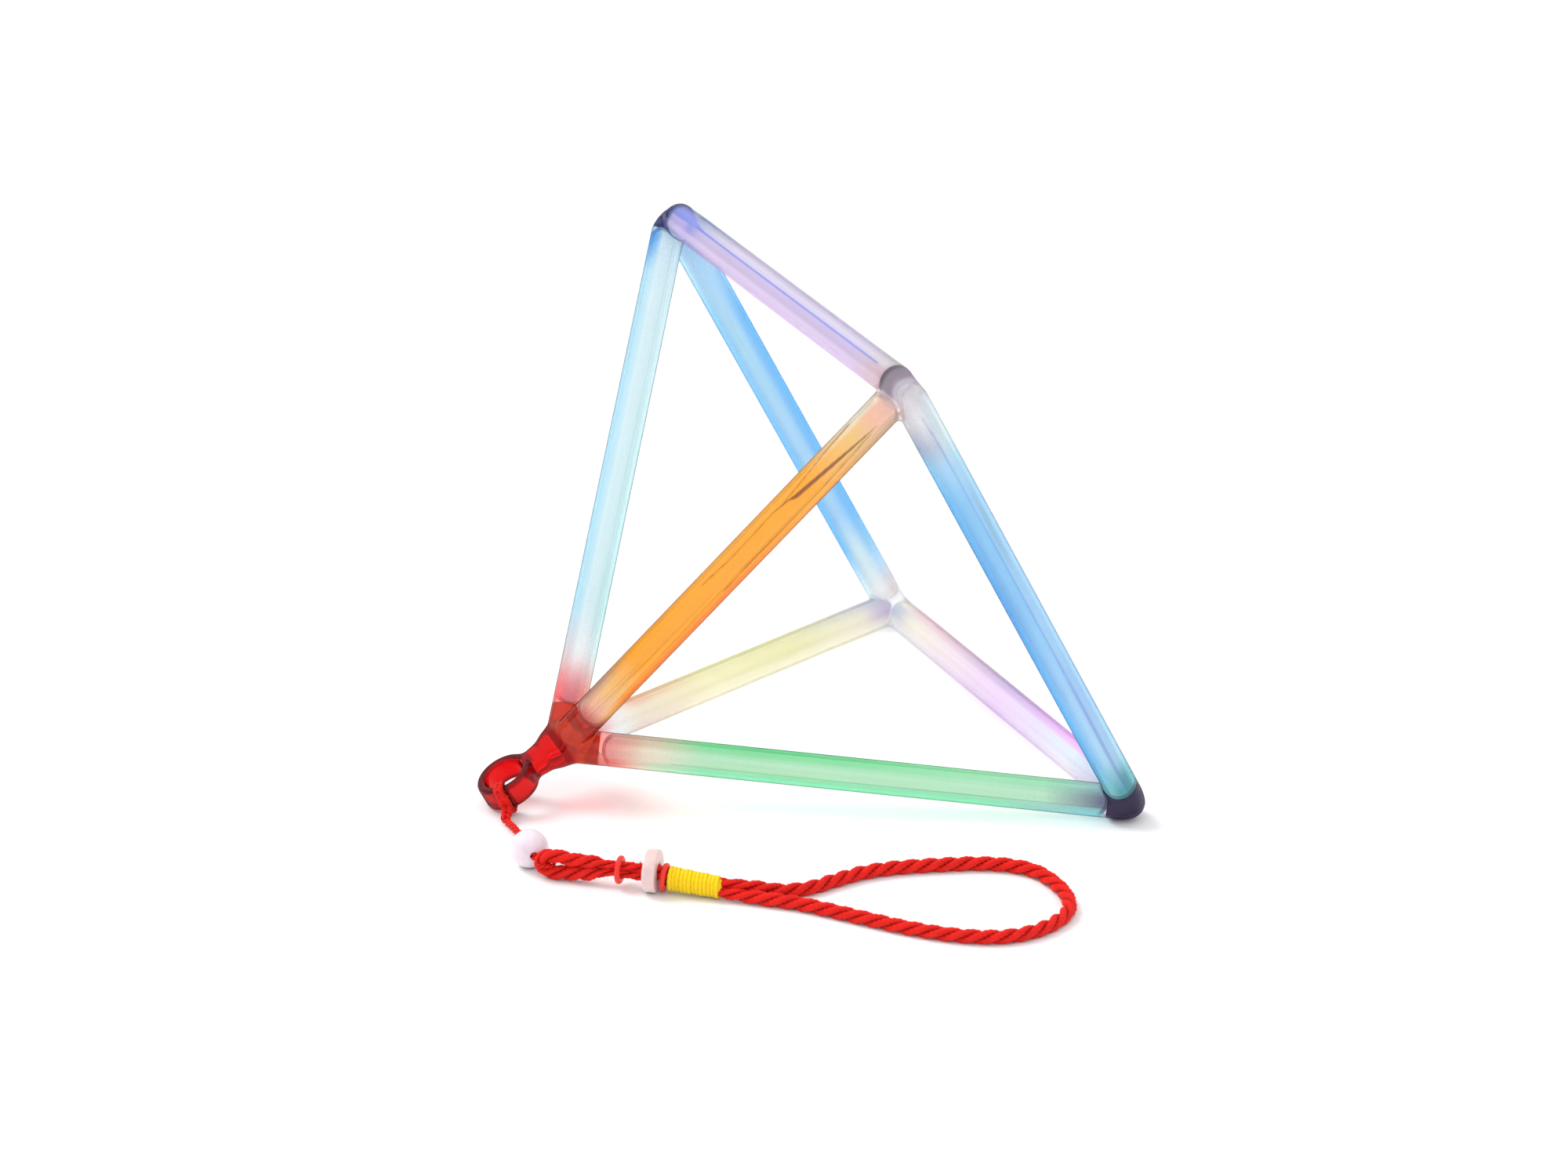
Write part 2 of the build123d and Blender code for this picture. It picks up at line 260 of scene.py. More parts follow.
def ring_faces(count, sides, tips=False):
    """Quads between rings of vertices, and fans to the two tip vertices that follow the rings."""
    faces = []
    pairs = [(k, (k + 1) % sides) for k in range(sides)]
    for i in range(count - 1):
        a, c = i * sides, (i + 1) * sides
        faces += [(a + k, a + m, c + m, c + k) for k, m in pairs]
    if tips:
        tip, last = count * sides, (count - 1) * sides
        for k, m in pairs:
            faces += [(tip, m, k), (tip + 1, last + k, last + m)]
    return faces


def sweep(path, radius, sides=12, relief=None, flatten=None):
    """A closed tube along a path. radius is one number or one per ring; relief(s, angle) scales it;
    flatten is (direction, factor) and squeezes the section along that direction."""
    p = np.asarray(path, float)
    t, n, b = frames(p)
    s = arc_lengths(p)
    r = np.broadcast_to(np.asarray(radius, float), (len(p),))
    ang = np.arange(sides) * 2 * np.pi / sides
    shape = np.ones((len(p), sides)) if relief is None else relief(s[:, None], ang[None, :])
    direction = n[:, None] * np.cos(ang)[None, :, None] + b[:, None] * np.sin(ang)[None, :, None]
    offs = direction * (r[:, None] * shape)[..., None]
    if flatten is not None:
        squeezed, factor = flatten
        d = squeezed[:, None, :]
        offs -= ((offs * d).sum(-1) * (1 - factor[:, None]))[..., None] * d
    tips = [p[0] - t[0] * r[0] * 0.35, p[-1] + t[-1] * r[-1] * 0.35]
    verts = np.vstack([(p[:, None, :] + offs).reshape(-1, 3), *tips])
    uv = np.stack([np.repeat(s, sides) * 0.1, np.tile(ang / (2 * np.pi), len(p))], 1)
    uv = np.vstack([uv, [0, 0], [s[-1] * 0.1, 0]])
    return verts, ring_faces(len(p), sides, tips=True), uv, np.ones(len(verts))


STRAND_SHARE = {2: 0.5, 3: 0.464}  # a strand's radius over its rope's, for two and three strands


def rope(path, outer, lay, strands=3, sides=12, scale=None, phase=0.0, ply=1.35, step=0.3):
    """Strands laid round a centre line. scale gives one number per path point, where a rope is squeezed."""
    p = resample(path, step)
    t, n, b = frames(p)
    s = arc_lengths(p)
    k_scale = np.ones(len(p)) if scale is None else scale(s)
    share = STRAND_SHARE[strands]
    turn = np.pi / ply
    parts = []
    for k in range(strands):
        a = -2 * np.pi * s / lay + 2 * np.pi * k / strands + phase
        around = n * np.cos(a)[:, None] + b * np.sin(a)[:, None]
        centre = p + around * ((outer - outer * share) * k_scale)[:, None]

        def relief(x, ang):
            return 1 + 0.09 * np.cos(2 * (ang - turn * x) + k) + 0.0315 * np.cos(5 * (ang + turn * 0.6 * x))

        v, f, u, h = sweep(centre, outer * share * 1.09 * k_scale, sides, relief)
        # Painted shade: a strand's distance from the rope's centre line sets how dark the cord is painted
        # there, darkest where the strands meet.
        away = np.linalg.norm(v[:-2].reshape(len(p), sides, 3) - p[:, None], axis=-1)
        h[:-2] = np.clip((away / (outer * k_scale)[:, None]).ravel(), 0, 1)
        parts.append((v, f, u, h))
    return merge(parts)


def rings(start, axis, places, radii, first, sides):
    """Vertex rings round an axis, with the angle and place of each vertex."""
    second = np.cross(axis, first)
    ang = np.arange(sides) * 2 * np.pi / sides
    direction = first * np.cos(ang)[:, None] + second * np.sin(ang)[:, None]
    verts = start + axis * places[:, None, None] + direction[None] * radii[:, None, None]
    return verts.reshape(-1, 3), np.tile(ang, len(places)), np.repeat(places, sides)


def lathe(name, centre, axis, profile, material, body, sides=96):
    """Turns a closed profile of (radius, place along the axis) about the axis."""
    first = unit(np.cross(axis, UP))
    r, h = np.array(profile).T
    n = len(profile)
    verts, ang, _ = rings(centre, axis, h, r, first, sides)
    verts = verts.reshape(n, sides, 3).transpose(1, 0, 2).reshape(-1, 3)
    uv = [(i / sides, j / n) for i in range(sides) for j in range(n)]
    faces = []
    for i in range(sides):
        a, c = i * n, (i + 1) % sides * n
        faces += [(a + j, a + (j + 1) % n, c + (j + 1) % n, c + j) for j in range(n)]
    obj = make_mesh(name, verts, faces, material, uv=np.array(uv))
    return place(obj, body, [name])



# Smooth fused glass: distance fields, meshed as surface nets and pulled onto the true surface
def smooth_min(a, b, k):
    h = np.clip(0.5 + 0.5 * (b - a) / k, 0, 1)
    return b + (a - b) * h - k * h * (1 - h)


def gap_to_line(p, start, direction, low=-np.inf, high=np.inf):
    """Distance to the part of a line between two places along it."""
    rel = p - start
    along = np.clip(rel @ direction, low, high)
    return np.linalg.norm(rel - along[..., None] * direction, axis=-1)


def rod(p, start, direction, radius):
    """Distance to a rod that begins at start with a round end and runs on without limit."""
    return gap_to_line(p, start, direction, 0.0) - radius


def surface_net(field, balls, step):
    """Meshes the surface where a distance field is zero, in the box round the given (centre, room) balls."""
    low = np.min([centre - room for centre, room in balls], axis=0)
    high = np.max([centre + room for centre, room in balls], axis=0)
    axes = [np.arange(low[k], high[k] + step, step) for k in range(3)]
    grid = np.stack(np.meshgrid(*axes, indexing="ij"), -1)
    v = field(grid)
    inside = v < 0
    shape = np.array(v.shape) - 1
    corner = [(i, j, k) for i in (0, 1) for j in (0, 1) for k in (0, 1)]
    cell = np.stack(
        [inside[i : i + shape[0], j : j + shape[1], k : k + shape[2]] for i, j, k in corner]
    )
    mixed = cell.any(0) & ~cell.all(0)
    index = -np.ones(mixed.shape, int)
    index[mixed] = np.arange(mixed.sum())
    where = np.argwhere(mixed)
    total, count = np.zeros((len(where), 3)), np.zeros(len(where))
    for a in range(8):
        for b in range(a + 1, 8):
            ca, cb = np.array(corner[a]), np.array(corner[b])
            if np.abs(ca - cb).sum() != 1:
                continue
            va, vb = v[tuple((where + ca).T)], v[tuple((where + cb).T)]
            cross = (va < 0) != (vb < 0)
            t = np.where(cross, va / np.where(cross, va - vb, 1), 0)
            pos = ca + (cb - ca) * t[:, None]
            total += pos * cross[:, None]
            count += cross
    verts = np.array([axes[0][0], axes[1][0], axes[2][0]]) + (where + total / count[:, None]) * step
    faces = []
    for axis in range(3):
        o1, o2 = [(1, 2), (2, 0), (0, 1)][axis]
        sl0, sl1 = [slice(None)] * 3, [slice(None)] * 3
        sl0[axis], sl1[axis] = slice(0, -1), slice(1, None)
        a, b = inside[tuple(sl0)], inside[tuple(sl1)]
        edges = np.argwhere(a != b)
        edges = edges[(edges[:, o1] > 0) & (edges[:, o2] > 0)]
        edges = edges[(edges[:, o1] < v.shape[o1] - 1) & (edges[:, o2] < v.shape[o2] - 1)]
        quad = []
        for d1, d2 in ((0, 0), (-1, 0), (-1, -1), (0, -1)):
            q = edges.copy()
            q[:, o1] += d1
            q[:, o2] += d2
            quad.append(index[tuple(q.T)])
        quad = np.stack(quad, 1)
        flip = ~a[tuple(edges.T)]
        quad[flip] = quad[flip][:, ::-1]
        faces.append(quad)
    faces = np.vstack(faces)
    faces = faces[(faces >= 0).all(1)]
    probe = 0.02
    for _ in range(5):
        g = np.stack([(field(verts + e) - field(verts - e)) / (2 * probe) for e in np.eye(3) * probe], -1)
        d = field(verts)
        verts = verts - g * (d / np.maximum((g * g).sum(-1), 0.2))[:, None]
    return verts, faces


def cut(verts, faces, planes):
    """Keeps what lies behind every (point, normal) plane, with open edges there."""
    bm = bmesh.new()
    vs = [bm.verts.new(v) for v in verts]
    for f in faces:
        if len(set(f)) == 4:
            try:
                bm.faces.new([vs[i] for i in f])
            except ValueError:
                pass
    for point, normal in planes:
        bmesh.ops.bisect_plane(
            bm, geom=bm.verts[:] + bm.edges[:] + bm.faces[:], plane_co=point, plane_no=normal,
            clear_outer=True, dist=0.01,
        )
    loose = [v for v in bm.verts if not v.link_faces]
    bmesh.ops.delete(bm, geom=loose, context="VERTS")
    bm.verts.ensure_lookup_table()
    bm.verts.index_update()
    out_v = np.array([v.co for v in bm.verts])
    out_f = [[v.index for v in f.verts] for f in bm.faces]
    bm.free()
    return out_v, out_f



# Materials
class Nodes:
    """A small wrapper, so that a material or sky reads as a list of nodes and links."""

    def __init__(self, name, world=False):
        self.owner = (bpy.data.worlds if world else bpy.data.materials).new(name)
        self.owner.use_nodes = True
        self.tree = self.owner.node_tree
        self.tree.nodes.clear()
        self.out = self.add("ShaderNodeOutputWorld" if world else "ShaderNodeOutputMaterial")

    def set(self, node, key, value):
        socket = node.inputs[key]
        if isinstance(value, bpy.types.NodeSocket):
            self.tree.links.new(value, socket)
        else:
            socket.default_value = (*value, 1) if socket.type == "RGBA" and len(value) == 3 else value

    def add(self, kind, *values, **named):
        """A node, with its first inputs set in order and others by name, where _ stands for a space."""
        node = self.tree.nodes.new(kind)
        for key, value in [*enumerate(values), *named.items()]:
            self.set(node, key if isinstance(key, int) else key.replace("_", " "), value)
        return node

    def value(self, kind, *values, **named):
        return self.add(kind, *values, **named).outputs[0]

    def math(self, operation, a, *b, clamp=False):
        node = self.add("ShaderNodeMath", a, *b)
        node.operation = operation
        node.use_clamp = clamp
        return node.outputs[0]

    def times(self, a, b):
        return self.math("MULTIPLY", a, b)

    def plus(self, a, b):
        return self.math("ADD", a, b)

    def swing(self, value, size):
        """How far a value is from one half, times size."""
        return self.times(self.math("SUBTRACT", value, 0.5), size)

    def mix_colour(self, factor, a, b, blend="MIX"):
        node = self.tree.nodes.new("ShaderNodeMix")
        node.data_type = "RGBA"
        node.blend_type = blend
        for socket, value in ((0, factor), (6, a), (7, b)):
            self.set(node, socket, value)
        return node.outputs[2]

    def mix_shader(self, factor, a, b):
        return self.value("ShaderNodeMixShader", factor, a, b)

    def darken(self, colour, tone):
        """A colour times a plain number."""
        combined = self.value("ShaderNodeCombineColor", tone, tone, tone)
        return self.mix_colour(1.0, colour, combined, "MULTIPLY")

    def ramp(self, factor, *stops):
        node = self.add("ShaderNodeValToRGB", factor)
        elements = node.color_ramp.elements
        while len(elements) < len(stops):
            elements.new(0.5)
        for element, (at, colour) in zip(elements, stops):
            element.position = at
            element.color = (*colour, 1)
        return node.outputs[0]

    def attribute(self, name):
        node = self.tree.nodes.new("ShaderNodeAttribute")
        node.attribute_name = name
        return node

    def object_place(self):
        return self.add("ShaderNodeTexCoord").outputs["Object"]

    def uv(self, scale):
        """The mesh's own UV coordinates, stretched per axis."""
        return self.value("ShaderNodeMapping", Vector=self.value("ShaderNodeUVMap"), Scale=scale)

    def noise(self, where, scale, detail=3.0, rough=0.55):
        return self.value("ShaderNodeTexNoise", Vector=where, Scale=scale, Detail=detail, Roughness=rough)

    def bump(self, height, strength, distance, **normal):
        return self.value("ShaderNodeBump", Height=height, Strength=strength, Distance=distance, **normal)

    def gamma(self, colour, power):
        return self.value("ShaderNodeGamma", Color=colour, Gamma=power)

    def clear(self, colour):
        return self.value("ShaderNodeBsdfTransparent", Color=colour)

    def gloss(self, colour, roughness, **normal):
        return self.value("ShaderNodeBsdfGlossy", Color=colour, Roughness=roughness, **normal)

    def milk(self, share, front, back):
        """Milky glass: partly lit from the front, and by its share from behind."""
        diffuse = self.value("ShaderNodeBsdfDiffuse", Color=front)
        return self.mix_shader(share, diffuse, self.value("ShaderNodeBsdfTranslucent", Color=back))

    def straight(self, glass, clear):
        """Shadow rays, and rays that have already bounced often, pass straight on through a plain tint."""
        light = self.add("ShaderNodeLightPath")
        late = self.math("GREATER_THAN", light.outputs["Ray Depth"], LATE_BOUNCE)
        return self.mix_shader(self.math("MAXIMUM", light.outputs["Is Shadow Ray"], late), glass, clear)

    def principled(self, **named):
        return self.finish(self.value("ShaderNodeBsdfPrincipled", **named))

    def finish(self, shader):
        self.tree.links.new(shader, self.out.inputs[0])
        return self.owner


WHITE = (1, 1, 1)
GLASS_IOR = 1.45
LATE_BOUNCE = 7.5


def glass_skin():
    """Outer glass. Its tint is the mesh's own, with the tint's alpha saying how milky it is. Grazing views
    deepen it towards the rim colour."""
    m = Nodes("glass_skin")
    tint_node = m.attribute("tint")
    tint = tint_node.outputs["Color"]
    rim = m.attribute("rim").outputs["Color"]
    facing = m.add("ShaderNodeLayerWeight", Blend=0.5).outputs["Facing"]
    colour = m.mix_colour(m.math("POWER", facing, 4.0, clamp=True), tint, rim)
    where = m.object_place()
    ripple = m.bump(m.noise(where, 160.0, 2.0), 0.012, 0.0008)
    normal = m.bump(m.noise(where, 900.0, 2.0), 0.03, 0.0002, Normal=ripple)
    refract = m.value("ShaderNodeBsdfRefraction", Color=colour, Roughness=0.0, IOR=GLASS_IOR, Normal=normal)
    shine = m.gloss(m.mix_colour(0.6, WHITE, colour), 0.04, Normal=normal)
    fresnel = m.value("ShaderNodeFresnel", IOR=GLASS_IOR, Normal=normal)
    glass = m.mix_shader(fresnel, refract, shine)
    dust = m.plus(0.8, m.times(m.noise(where, 1700.0, 2.0, 0.6), 0.4))
    milk = m.milk(0.4, m.darken(m.gamma(tint, 2.0), dust), tint)
    milk = m.mix_shader(m.times(fresnel, 0.8), milk, m.gloss(WHITE, 0.08))
    glass = m.mix_shader(tint_node.outputs["Alpha"], glass, milk)
    outline = m.math("MULTIPLY", m.math("SUBTRACT", facing, 0.56), 3.2, clamp=True)
    glass = m.mix_shader(m.times(outline, 0.78), glass, m.clear(rim))
    return m.finish(m.straight(glass, m.clear(tint)))


def glass_core():
    """The milky coloured bore inside a tube, mirror-bright at its flanks."""
    m = Nodes("glass_core")
    paint_node = m.attribute("paint")
    edge_node = m.attribute("edge")
    where = m.object_place()
    streak = m.noise(m.uv((0.35, 60.0, 1.0)), 1.0, 3.0)
    craze = m.noise(m.uv((26.0, 3.0, 1.0)), 1.0, 4.0, 0.65)
    speckle = m.noise(where, 2600.0, 2.0, 0.6)
    line = m.math("ABSOLUTE", m.math("SUBTRACT", m.noise(m.uv((42.0, 1.6, 1.0)), 1.0, 2.0, 0.5), 0.5))
    patch = m.math("GREATER_THAN", m.noise(where, 75.0, 1.0), 0.60)
    crack = m.times(m.times(m.math("LESS_THAN", line, 0.006), patch), 0.22)
    frost = m.plus(0.12, m.times(edge_node.outputs["Alpha"], 0.45))
    tone = m.plus(m.swing(streak, 0.10), m.swing(craze, 0.10))
    tone = m.plus(m.plus(tone, m.swing(speckle, frost)), 1.0)
    colour = m.darken(paint_node.outputs["Color"], m.math("SUBTRACT", tone, crack))
    pale = m.gamma(colour, 0.5)
    # Painted light: the bore's paint also glows faintly in its own colour, which makes it brighter and more
    # vivid than the lamps alone would.
    painted_glow = m.value("ShaderNodeEmission", Color=colour, Strength=0.10)
    milk = m.value("ShaderNodeAddShader", m.milk(0.5, colour, pale), painted_glow)
    body = m.mix_shader(paint_node.outputs["Alpha"], m.clear(pale), milk)
    flank = m.times(m.value("ShaderNodeFresnel", IOR=0.72), 0.55)
    glass = m.mix_shader(flank, body, m.gloss(edge_node.outputs["Color"], 0.12))
    return m.finish(m.straight(glass, m.clear(m.mix_colour(0.3, WHITE, pale))))


def glass_heart(name, hex_code, milk, dark_hex):
    """Coloured glass inside a joint: a tint at each crossing, partly milky, darker at its flanks."""
    m = Nodes(name)
    cloud = m.noise(m.object_place(), 260.0, 3.0)
    facing = m.add("ShaderNodeLayerWeight", Blend=0.5).outputs["Facing"]
    flank = m.math("POWER", facing, 2.0, clamp=True)
    base = m.ramp(cloud, (0.30, linear(hex_code) * 0.8), (0.70, linear(hex_code)))
    colour = m.mix_colour(flank, base, linear(dark_hex))
    colour = m.mix_colour(m.attribute("pale").outputs["Fac"], colour, (0.93, 0.93, 0.96))
    return m.finish(m.mix_shader(milk, m.clear(m.gamma(colour, 0.6)), m.milk(0.5, colour, colour)))


def cord_material(name, light_hex, dark_hex, fine=1.0):
    m = Nodes(name)
    light, dark = linear(light_hex), linear(dark_hex)
    where = m.object_place()
    across = m.uv((22.0 * fine, 2.0, 1.0))
    ply = m.add("ShaderNodeTexWave", Vector=across, Scale=1.4, Distortion=1.2, Detail=2.0)
    ply.bands_direction = "DIAGONAL"
    plies = ply.outputs["Fac"]
    fibre = m.noise(where, 4200.0, 3.0, 0.7)
    shade = m.plus(m.times(plies, 0.35), m.times(fibre, 0.4))
    shade = m.plus(shade, m.times(m.noise(where, 260.0, 2.0), 0.3))
    colour = m.ramp(shade, (0.25, dark), (0.75, light))
    # Painted shade: the cord is painted down to a third of its dark colour in the grooves between strands.
    colour = m.mix_colour(m.attribute("groove_shade").outputs["Fac"], dark * 0.35, colour)
    height = m.plus(m.times(plies, 0.6), m.times(fibre, 0.5))
    return m.principled(Base_Color=colour, Roughness=0.62, Specular_IOR_Level=0.3, Sheen_Weight=0.08,
                        Sheen_Roughness=0.4, Sheen_Tint=light, Normal=m.bump(height, 0.5, 0.00022))


def stone_material(name, base_hex, vein_hex, scatter, scale, coat=0.4, rough=0.28):
    m = Nodes(name)
    where = m.object_place()
    cloud = m.noise(where, scale, 4.0, 0.6)
    colour = m.ramp(cloud, (0.3, linear(vein_hex)), (0.7, linear(base_hex)))
    grain = m.bump(m.noise(where, 2500.0, 2.0), 0.05, 0.0001)
    return m.principled(Base_Color=colour, Roughness=rough, Subsurface_Weight=scatter, Normal=grain,
                        Subsurface_Radius=(1.0, 0.7, 0.7), Subsurface_Scale=0.002, Coat_Weight=coat,
                        Coat_Roughness=0.15)


def rubber_material(name, hex_code):
    m = Nodes(name)
    mottle = m.noise(m.object_place(), 900.0, 3.0)
    colour = m.ramp(mottle, (0.3, linear(hex_code) * 0.8), (0.7, linear(hex_code)))
    return m.principled(Base_Color=colour, Roughness=0.42, Normal=m.bump(mottle, 0.15, 0.0001))


SKIN = glass_skin()
CORE = glass_core()
RED_CORD = cord_material("red_cord", "fc1e0a", "c40604")
YELLOW_THREAD = cord_material("yellow_thread", "ffe420", "ffc800", 1.6)
BEAD_STONE = stone_material("milky_stone", "ecdfe8", "dfcfda", 0.30, 220.0)
DISC_STONE = stone_material("pink_stone", "e6cfcc", "d6bab8", 0.45, 300.0, 0.25, 0.35)
RUBBER = rubber_material("red_rubber", "f42c1e")


# Glass frame

# Glass colours
PALETTE = {
    "white": "fcfcfc", "cream": "fcf8d8", "ivory": "f8f4e4", "straw": "f4f4c8", "lemon": "eeecc2",
    "ice": "e6f6f8", "aqua": "d4f2f2", "pale_sky": "c8eaf8", "baby_blue": "c0e4fc",
    "light_azure": "a0d8f8", "azure": "84ccfc", "sky": "76b8f0", "steel": "b4c0d8", "teal": "58bcc0",
    "pale_teal": "a8ecf0", "blush": "fcbcbc", "pale_pink": "fce0f0", "shell": "e8dcdc", "rose": "cc5068",
    "dusk": "b07080", "mauve": "dcc4cc", "peach": "fcd0bc", "apricot": "f0c4a8", "clay": "d4b8a4",
    "sand": "dcb88c", "honey": "fcc868", "amber": "fcbe38", "orange": "fc9c0c", "wheat": "f8d890",
    "mint": "a8f0cc", "pale_mint": "d4f4dc", "green": "8ce0a8", "soft_green": "b0e8c2", "moss": "d6ccb8",
    "sea": "b8dcdc", "lilac": "d2c6e2", "pale_lilac": "e4e0ee", "orchid": "f6e4fc",
    "pink_orchid": "f4d8de", "magenta": "fcc4fc", "periwinkle": "7490d8", "mist": "d0d6e4",
    "slate": "8484a0", "silver": "e0e0e0",
}
# The tubes: the joints at their two ends, how far from each the bore's round tip sits, which way "across"
# points, how dark the outline is, where the low and high zones begin across the tube and how softly, the red
# hub's blush with where it fades, and the colours along them as the low side, the middle and the high side.
TUBES = {
    "cyan_side_tube": dict(
        ends=("apex", "top_far"), tips=(10.7, 4.3), across=CAM_RIGHT, slot="cyan_glass",
        outline=0.52, split=(0.42, 0.26, 0.52, 0.3), blush=("fcc4c8", 12.0, 26.0), stops=[
            (0.08, "blush", "mauve", "cream"), (0.15, "shell", "white", "ice"),
            (0.25, "pale_sky", "ice", "aqua"), (0.88, "pale_sky", "ice", "ice"),
            (0.94, "sky", "ice", "ice")]),
    "orange_side_tube": dict(
        ends=("apex", "top_near"), tips=(11.6, 4.6), across=CAM_RIGHT, slot="orange_glass",
        outline=0.52, split=(0.62, 0.22, 0.68, 0.07), blush=("f6d4c4", 12.0, 18.0), stops=[
            (0.08, "pale_pink", "rose", "dusk"), (0.12, "clay", "peach", "wheat"),
            (0.17, "clay", "wheat", "orange"), (0.25, "amber", "amber", "orange"),
            (0.5, "honey", "amber", "orange"), (0.75, "honey", "amber", "amber"),
            (0.88, "ivory", "wheat", "sand"), (0.93, "ivory", "peach", "clay")]),
    "yellow_side_tube": dict(
        ends=("apex", "ground_far"), tips=(10.9, 2.2), across=CAM_UP, slot="yellow_glass",
        outline=0.86, split=(0.5, 0.4, 0.5, 0.4), blush=("f8d8d0", 10.0, 18.0), stops=[
            (0.08, "ice", "pale_pink", "peach"), (0.14, "ice", "white", "white"),
            (0.2, "shell", "ivory", "apricot"), (0.4, "ivory", "cream", "lemon"),
            (0.65, "ivory", "straw", "lemon"), (0.88, "ivory", "ivory", "silver"),
            (0.94, "ivory", "lilac", "mist")]),
    "green_side_tube": dict(
        ends=("apex", "ground_near"), tips=(10.9, 5.7), across=CAM_UP, slot="green_glass",
        outline=0.62, split=(0.6, 0.06, 0.48, 0.34), blush=("fcccca", 12.0, 24.0), stops=[
            (0.08, "blush", "white", "ice"), (0.13, "ivory", "ivory", "moss"),
            (0.17, "pale_mint", "ivory", "moss"), (0.25, "mint", "pale_mint", "green"),
            (0.5, "mint", "pale_mint", "green"), (0.75, "mint", "pale_mint", "soft_green"),
            (0.85, "sea", "pale_mint", "soft_green"), (0.95, "pale_teal", "slate", "sea")]),
    "top_lilac_tube": dict(
        ends=("top_far", "top_near"), tips=(3.9, 5.0), across=CAM_UP, slot="lilac_glass",
        outline=0.88, split=(0.5, 0.4, 0.25, 0.05), stops=[
            (0.06, "white", "steel", "white"), (0.12, "orchid", "periwinkle", "steel"),
            (0.17, "orchid", "lilac", "mist"), (0.3, "orchid", "lilac", "pale_lilac"),
            (0.83, "orchid", "lilac", "pale_lilac"), (0.94, "pink_orchid", "mauve", "silver")]),
    "near_blue_tube": dict(
        ends=("top_near", "ground_near"), tips=(-1.0, 3.7), across=CAM_RIGHT, slot="blue_glass",
        outline=0.62, split=(0.5, 0.38, 0.31, 0.06), stops=[
            (0.06, "silver", "white", "ice"), (0.12, "steel", "mist", "ice"),
            (0.17, "light_azure", "baby_blue", "pale_sky"), (0.25, "azure", "light_azure", "baby_blue"),
            (0.5, "sky", "light_azure", "baby_blue"), (0.75, "azure", "baby_blue", "baby_blue"),
            (0.88, "azure", "pale_sky", "pale_sky"), (0.95, "pale_teal", "teal", "pale_teal")]),
    "ground_lilac_tube": dict(
        ends=("ground_near", "ground_far"), tips=(6.5, 4.0), across=CAM_UP, slot="lilac_glass",
        outline=0.86, split=(0.5, 0.3, 0.45, 0.2), stops=[
            (0.06, "lilac", "mist", "magenta"), (0.2, "white", "ice", "magenta"),
            (0.5, "orchid", "orchid", "lilac"), (0.88, "white", "ivory", "pink_orchid"),
            (0.94, "white", "mist", "ivory")]),
    "far_blue_tube": dict(
        ends=("ground_far", "top_far"), tips=(3.0, 5.0), across=CAM_RIGHT, slot="blue_glass",
        outline=0.7, split=(0.62, 0.3, 0.36, 0.34), stops=[
            (0.06, "ice", "white", "shell"), (0.12, "baby_blue", "ice", "baby_blue"),
            (0.17, "azure", "ice", "light_azure"), (0.25, "azure", "baby_blue", "azure"),
            (0.75, "light_azure", "pale_sky", "azure"), (0.88, "pale_sky", "baby_blue", "baby_blue"),
            (0.94, "baby_blue", "baby_blue", "lilac")]),
}

def tube_line(name):
    """A tube's start, direction and length between its meeting points, and the direction across it."""
    spec = TUBES[name]
    a, b = (POINTS[end] for end in spec["ends"])
    axis = unit(b - a)
    side = unit(np.cross(unit(POINTS["top_near"] * 0.3 - CAM_POS), axis))
    return a, axis, np.linalg.norm(b - a), side if side @ spec["across"] > 0 else -side


def stop_colours(spec, u, w):
    """Colours for each point from its place along the tube and its place across it, -1 to 1."""
    stops = spec["stops"]
    us = np.array([s[0] for s in stops])
    cols = np.array([[linear(PALETTE[c]) for c in s[1:]] for s in stops])
    along = np.stack([[np.interp(u, us, cols[:, k, c]) for c in range(3)] for k in range(3)])
    low, mid, high = (along[k].T for k in range(3))
    t = np.clip(w, -1, 1)[:, None]
    low_at, low_soft, high_at, high_soft = spec["split"]
    down = smoothstep(low_at - low_soft, low_at + low_soft, -t)
    up = smoothstep(high_at - high_soft, high_at + high_soft, t)
    return mid * (1 - down - up) + low * down + high * up


# How each joint tints the clear glass: colour, rim colour, milkiness, and where it fades along each tube.
JOINT_TINTS = {
    "apex": dict(tint="e89884", rim="6c1a18", milk=0.06, fade=(8.8, 10.6)),
    "top_far": dict(tint="dcdcee", rim="4a4a78", milk=0.04, fade=(3.0, 5.5)),
    "top_near": dict(tint="f0eaee", rim="907c86", milk=0.10, fade=(3.0, 8.5)),
    "ground_near": dict(tint="b8a0cc", rim="1c1034", milk=0.04, fade=(3.0, 4.2)),
    "ground_far": dict(tint="f2f2f4", rim="c4c4cc", milk=0.30, fade=(5.0, 10.0)),
}
# Where a joint's tint fades sooner along one tube
FADES = {("ground_near", "green_side_tube"): (5.4, 6.2), ("top_far", "cyan_side_tube"): (3.4, 4.6)}
CLEAR = np.array([0.97, 0.98, 0.985])
CLEAR_RIM = np.array([0.66, 0.72, 0.76])


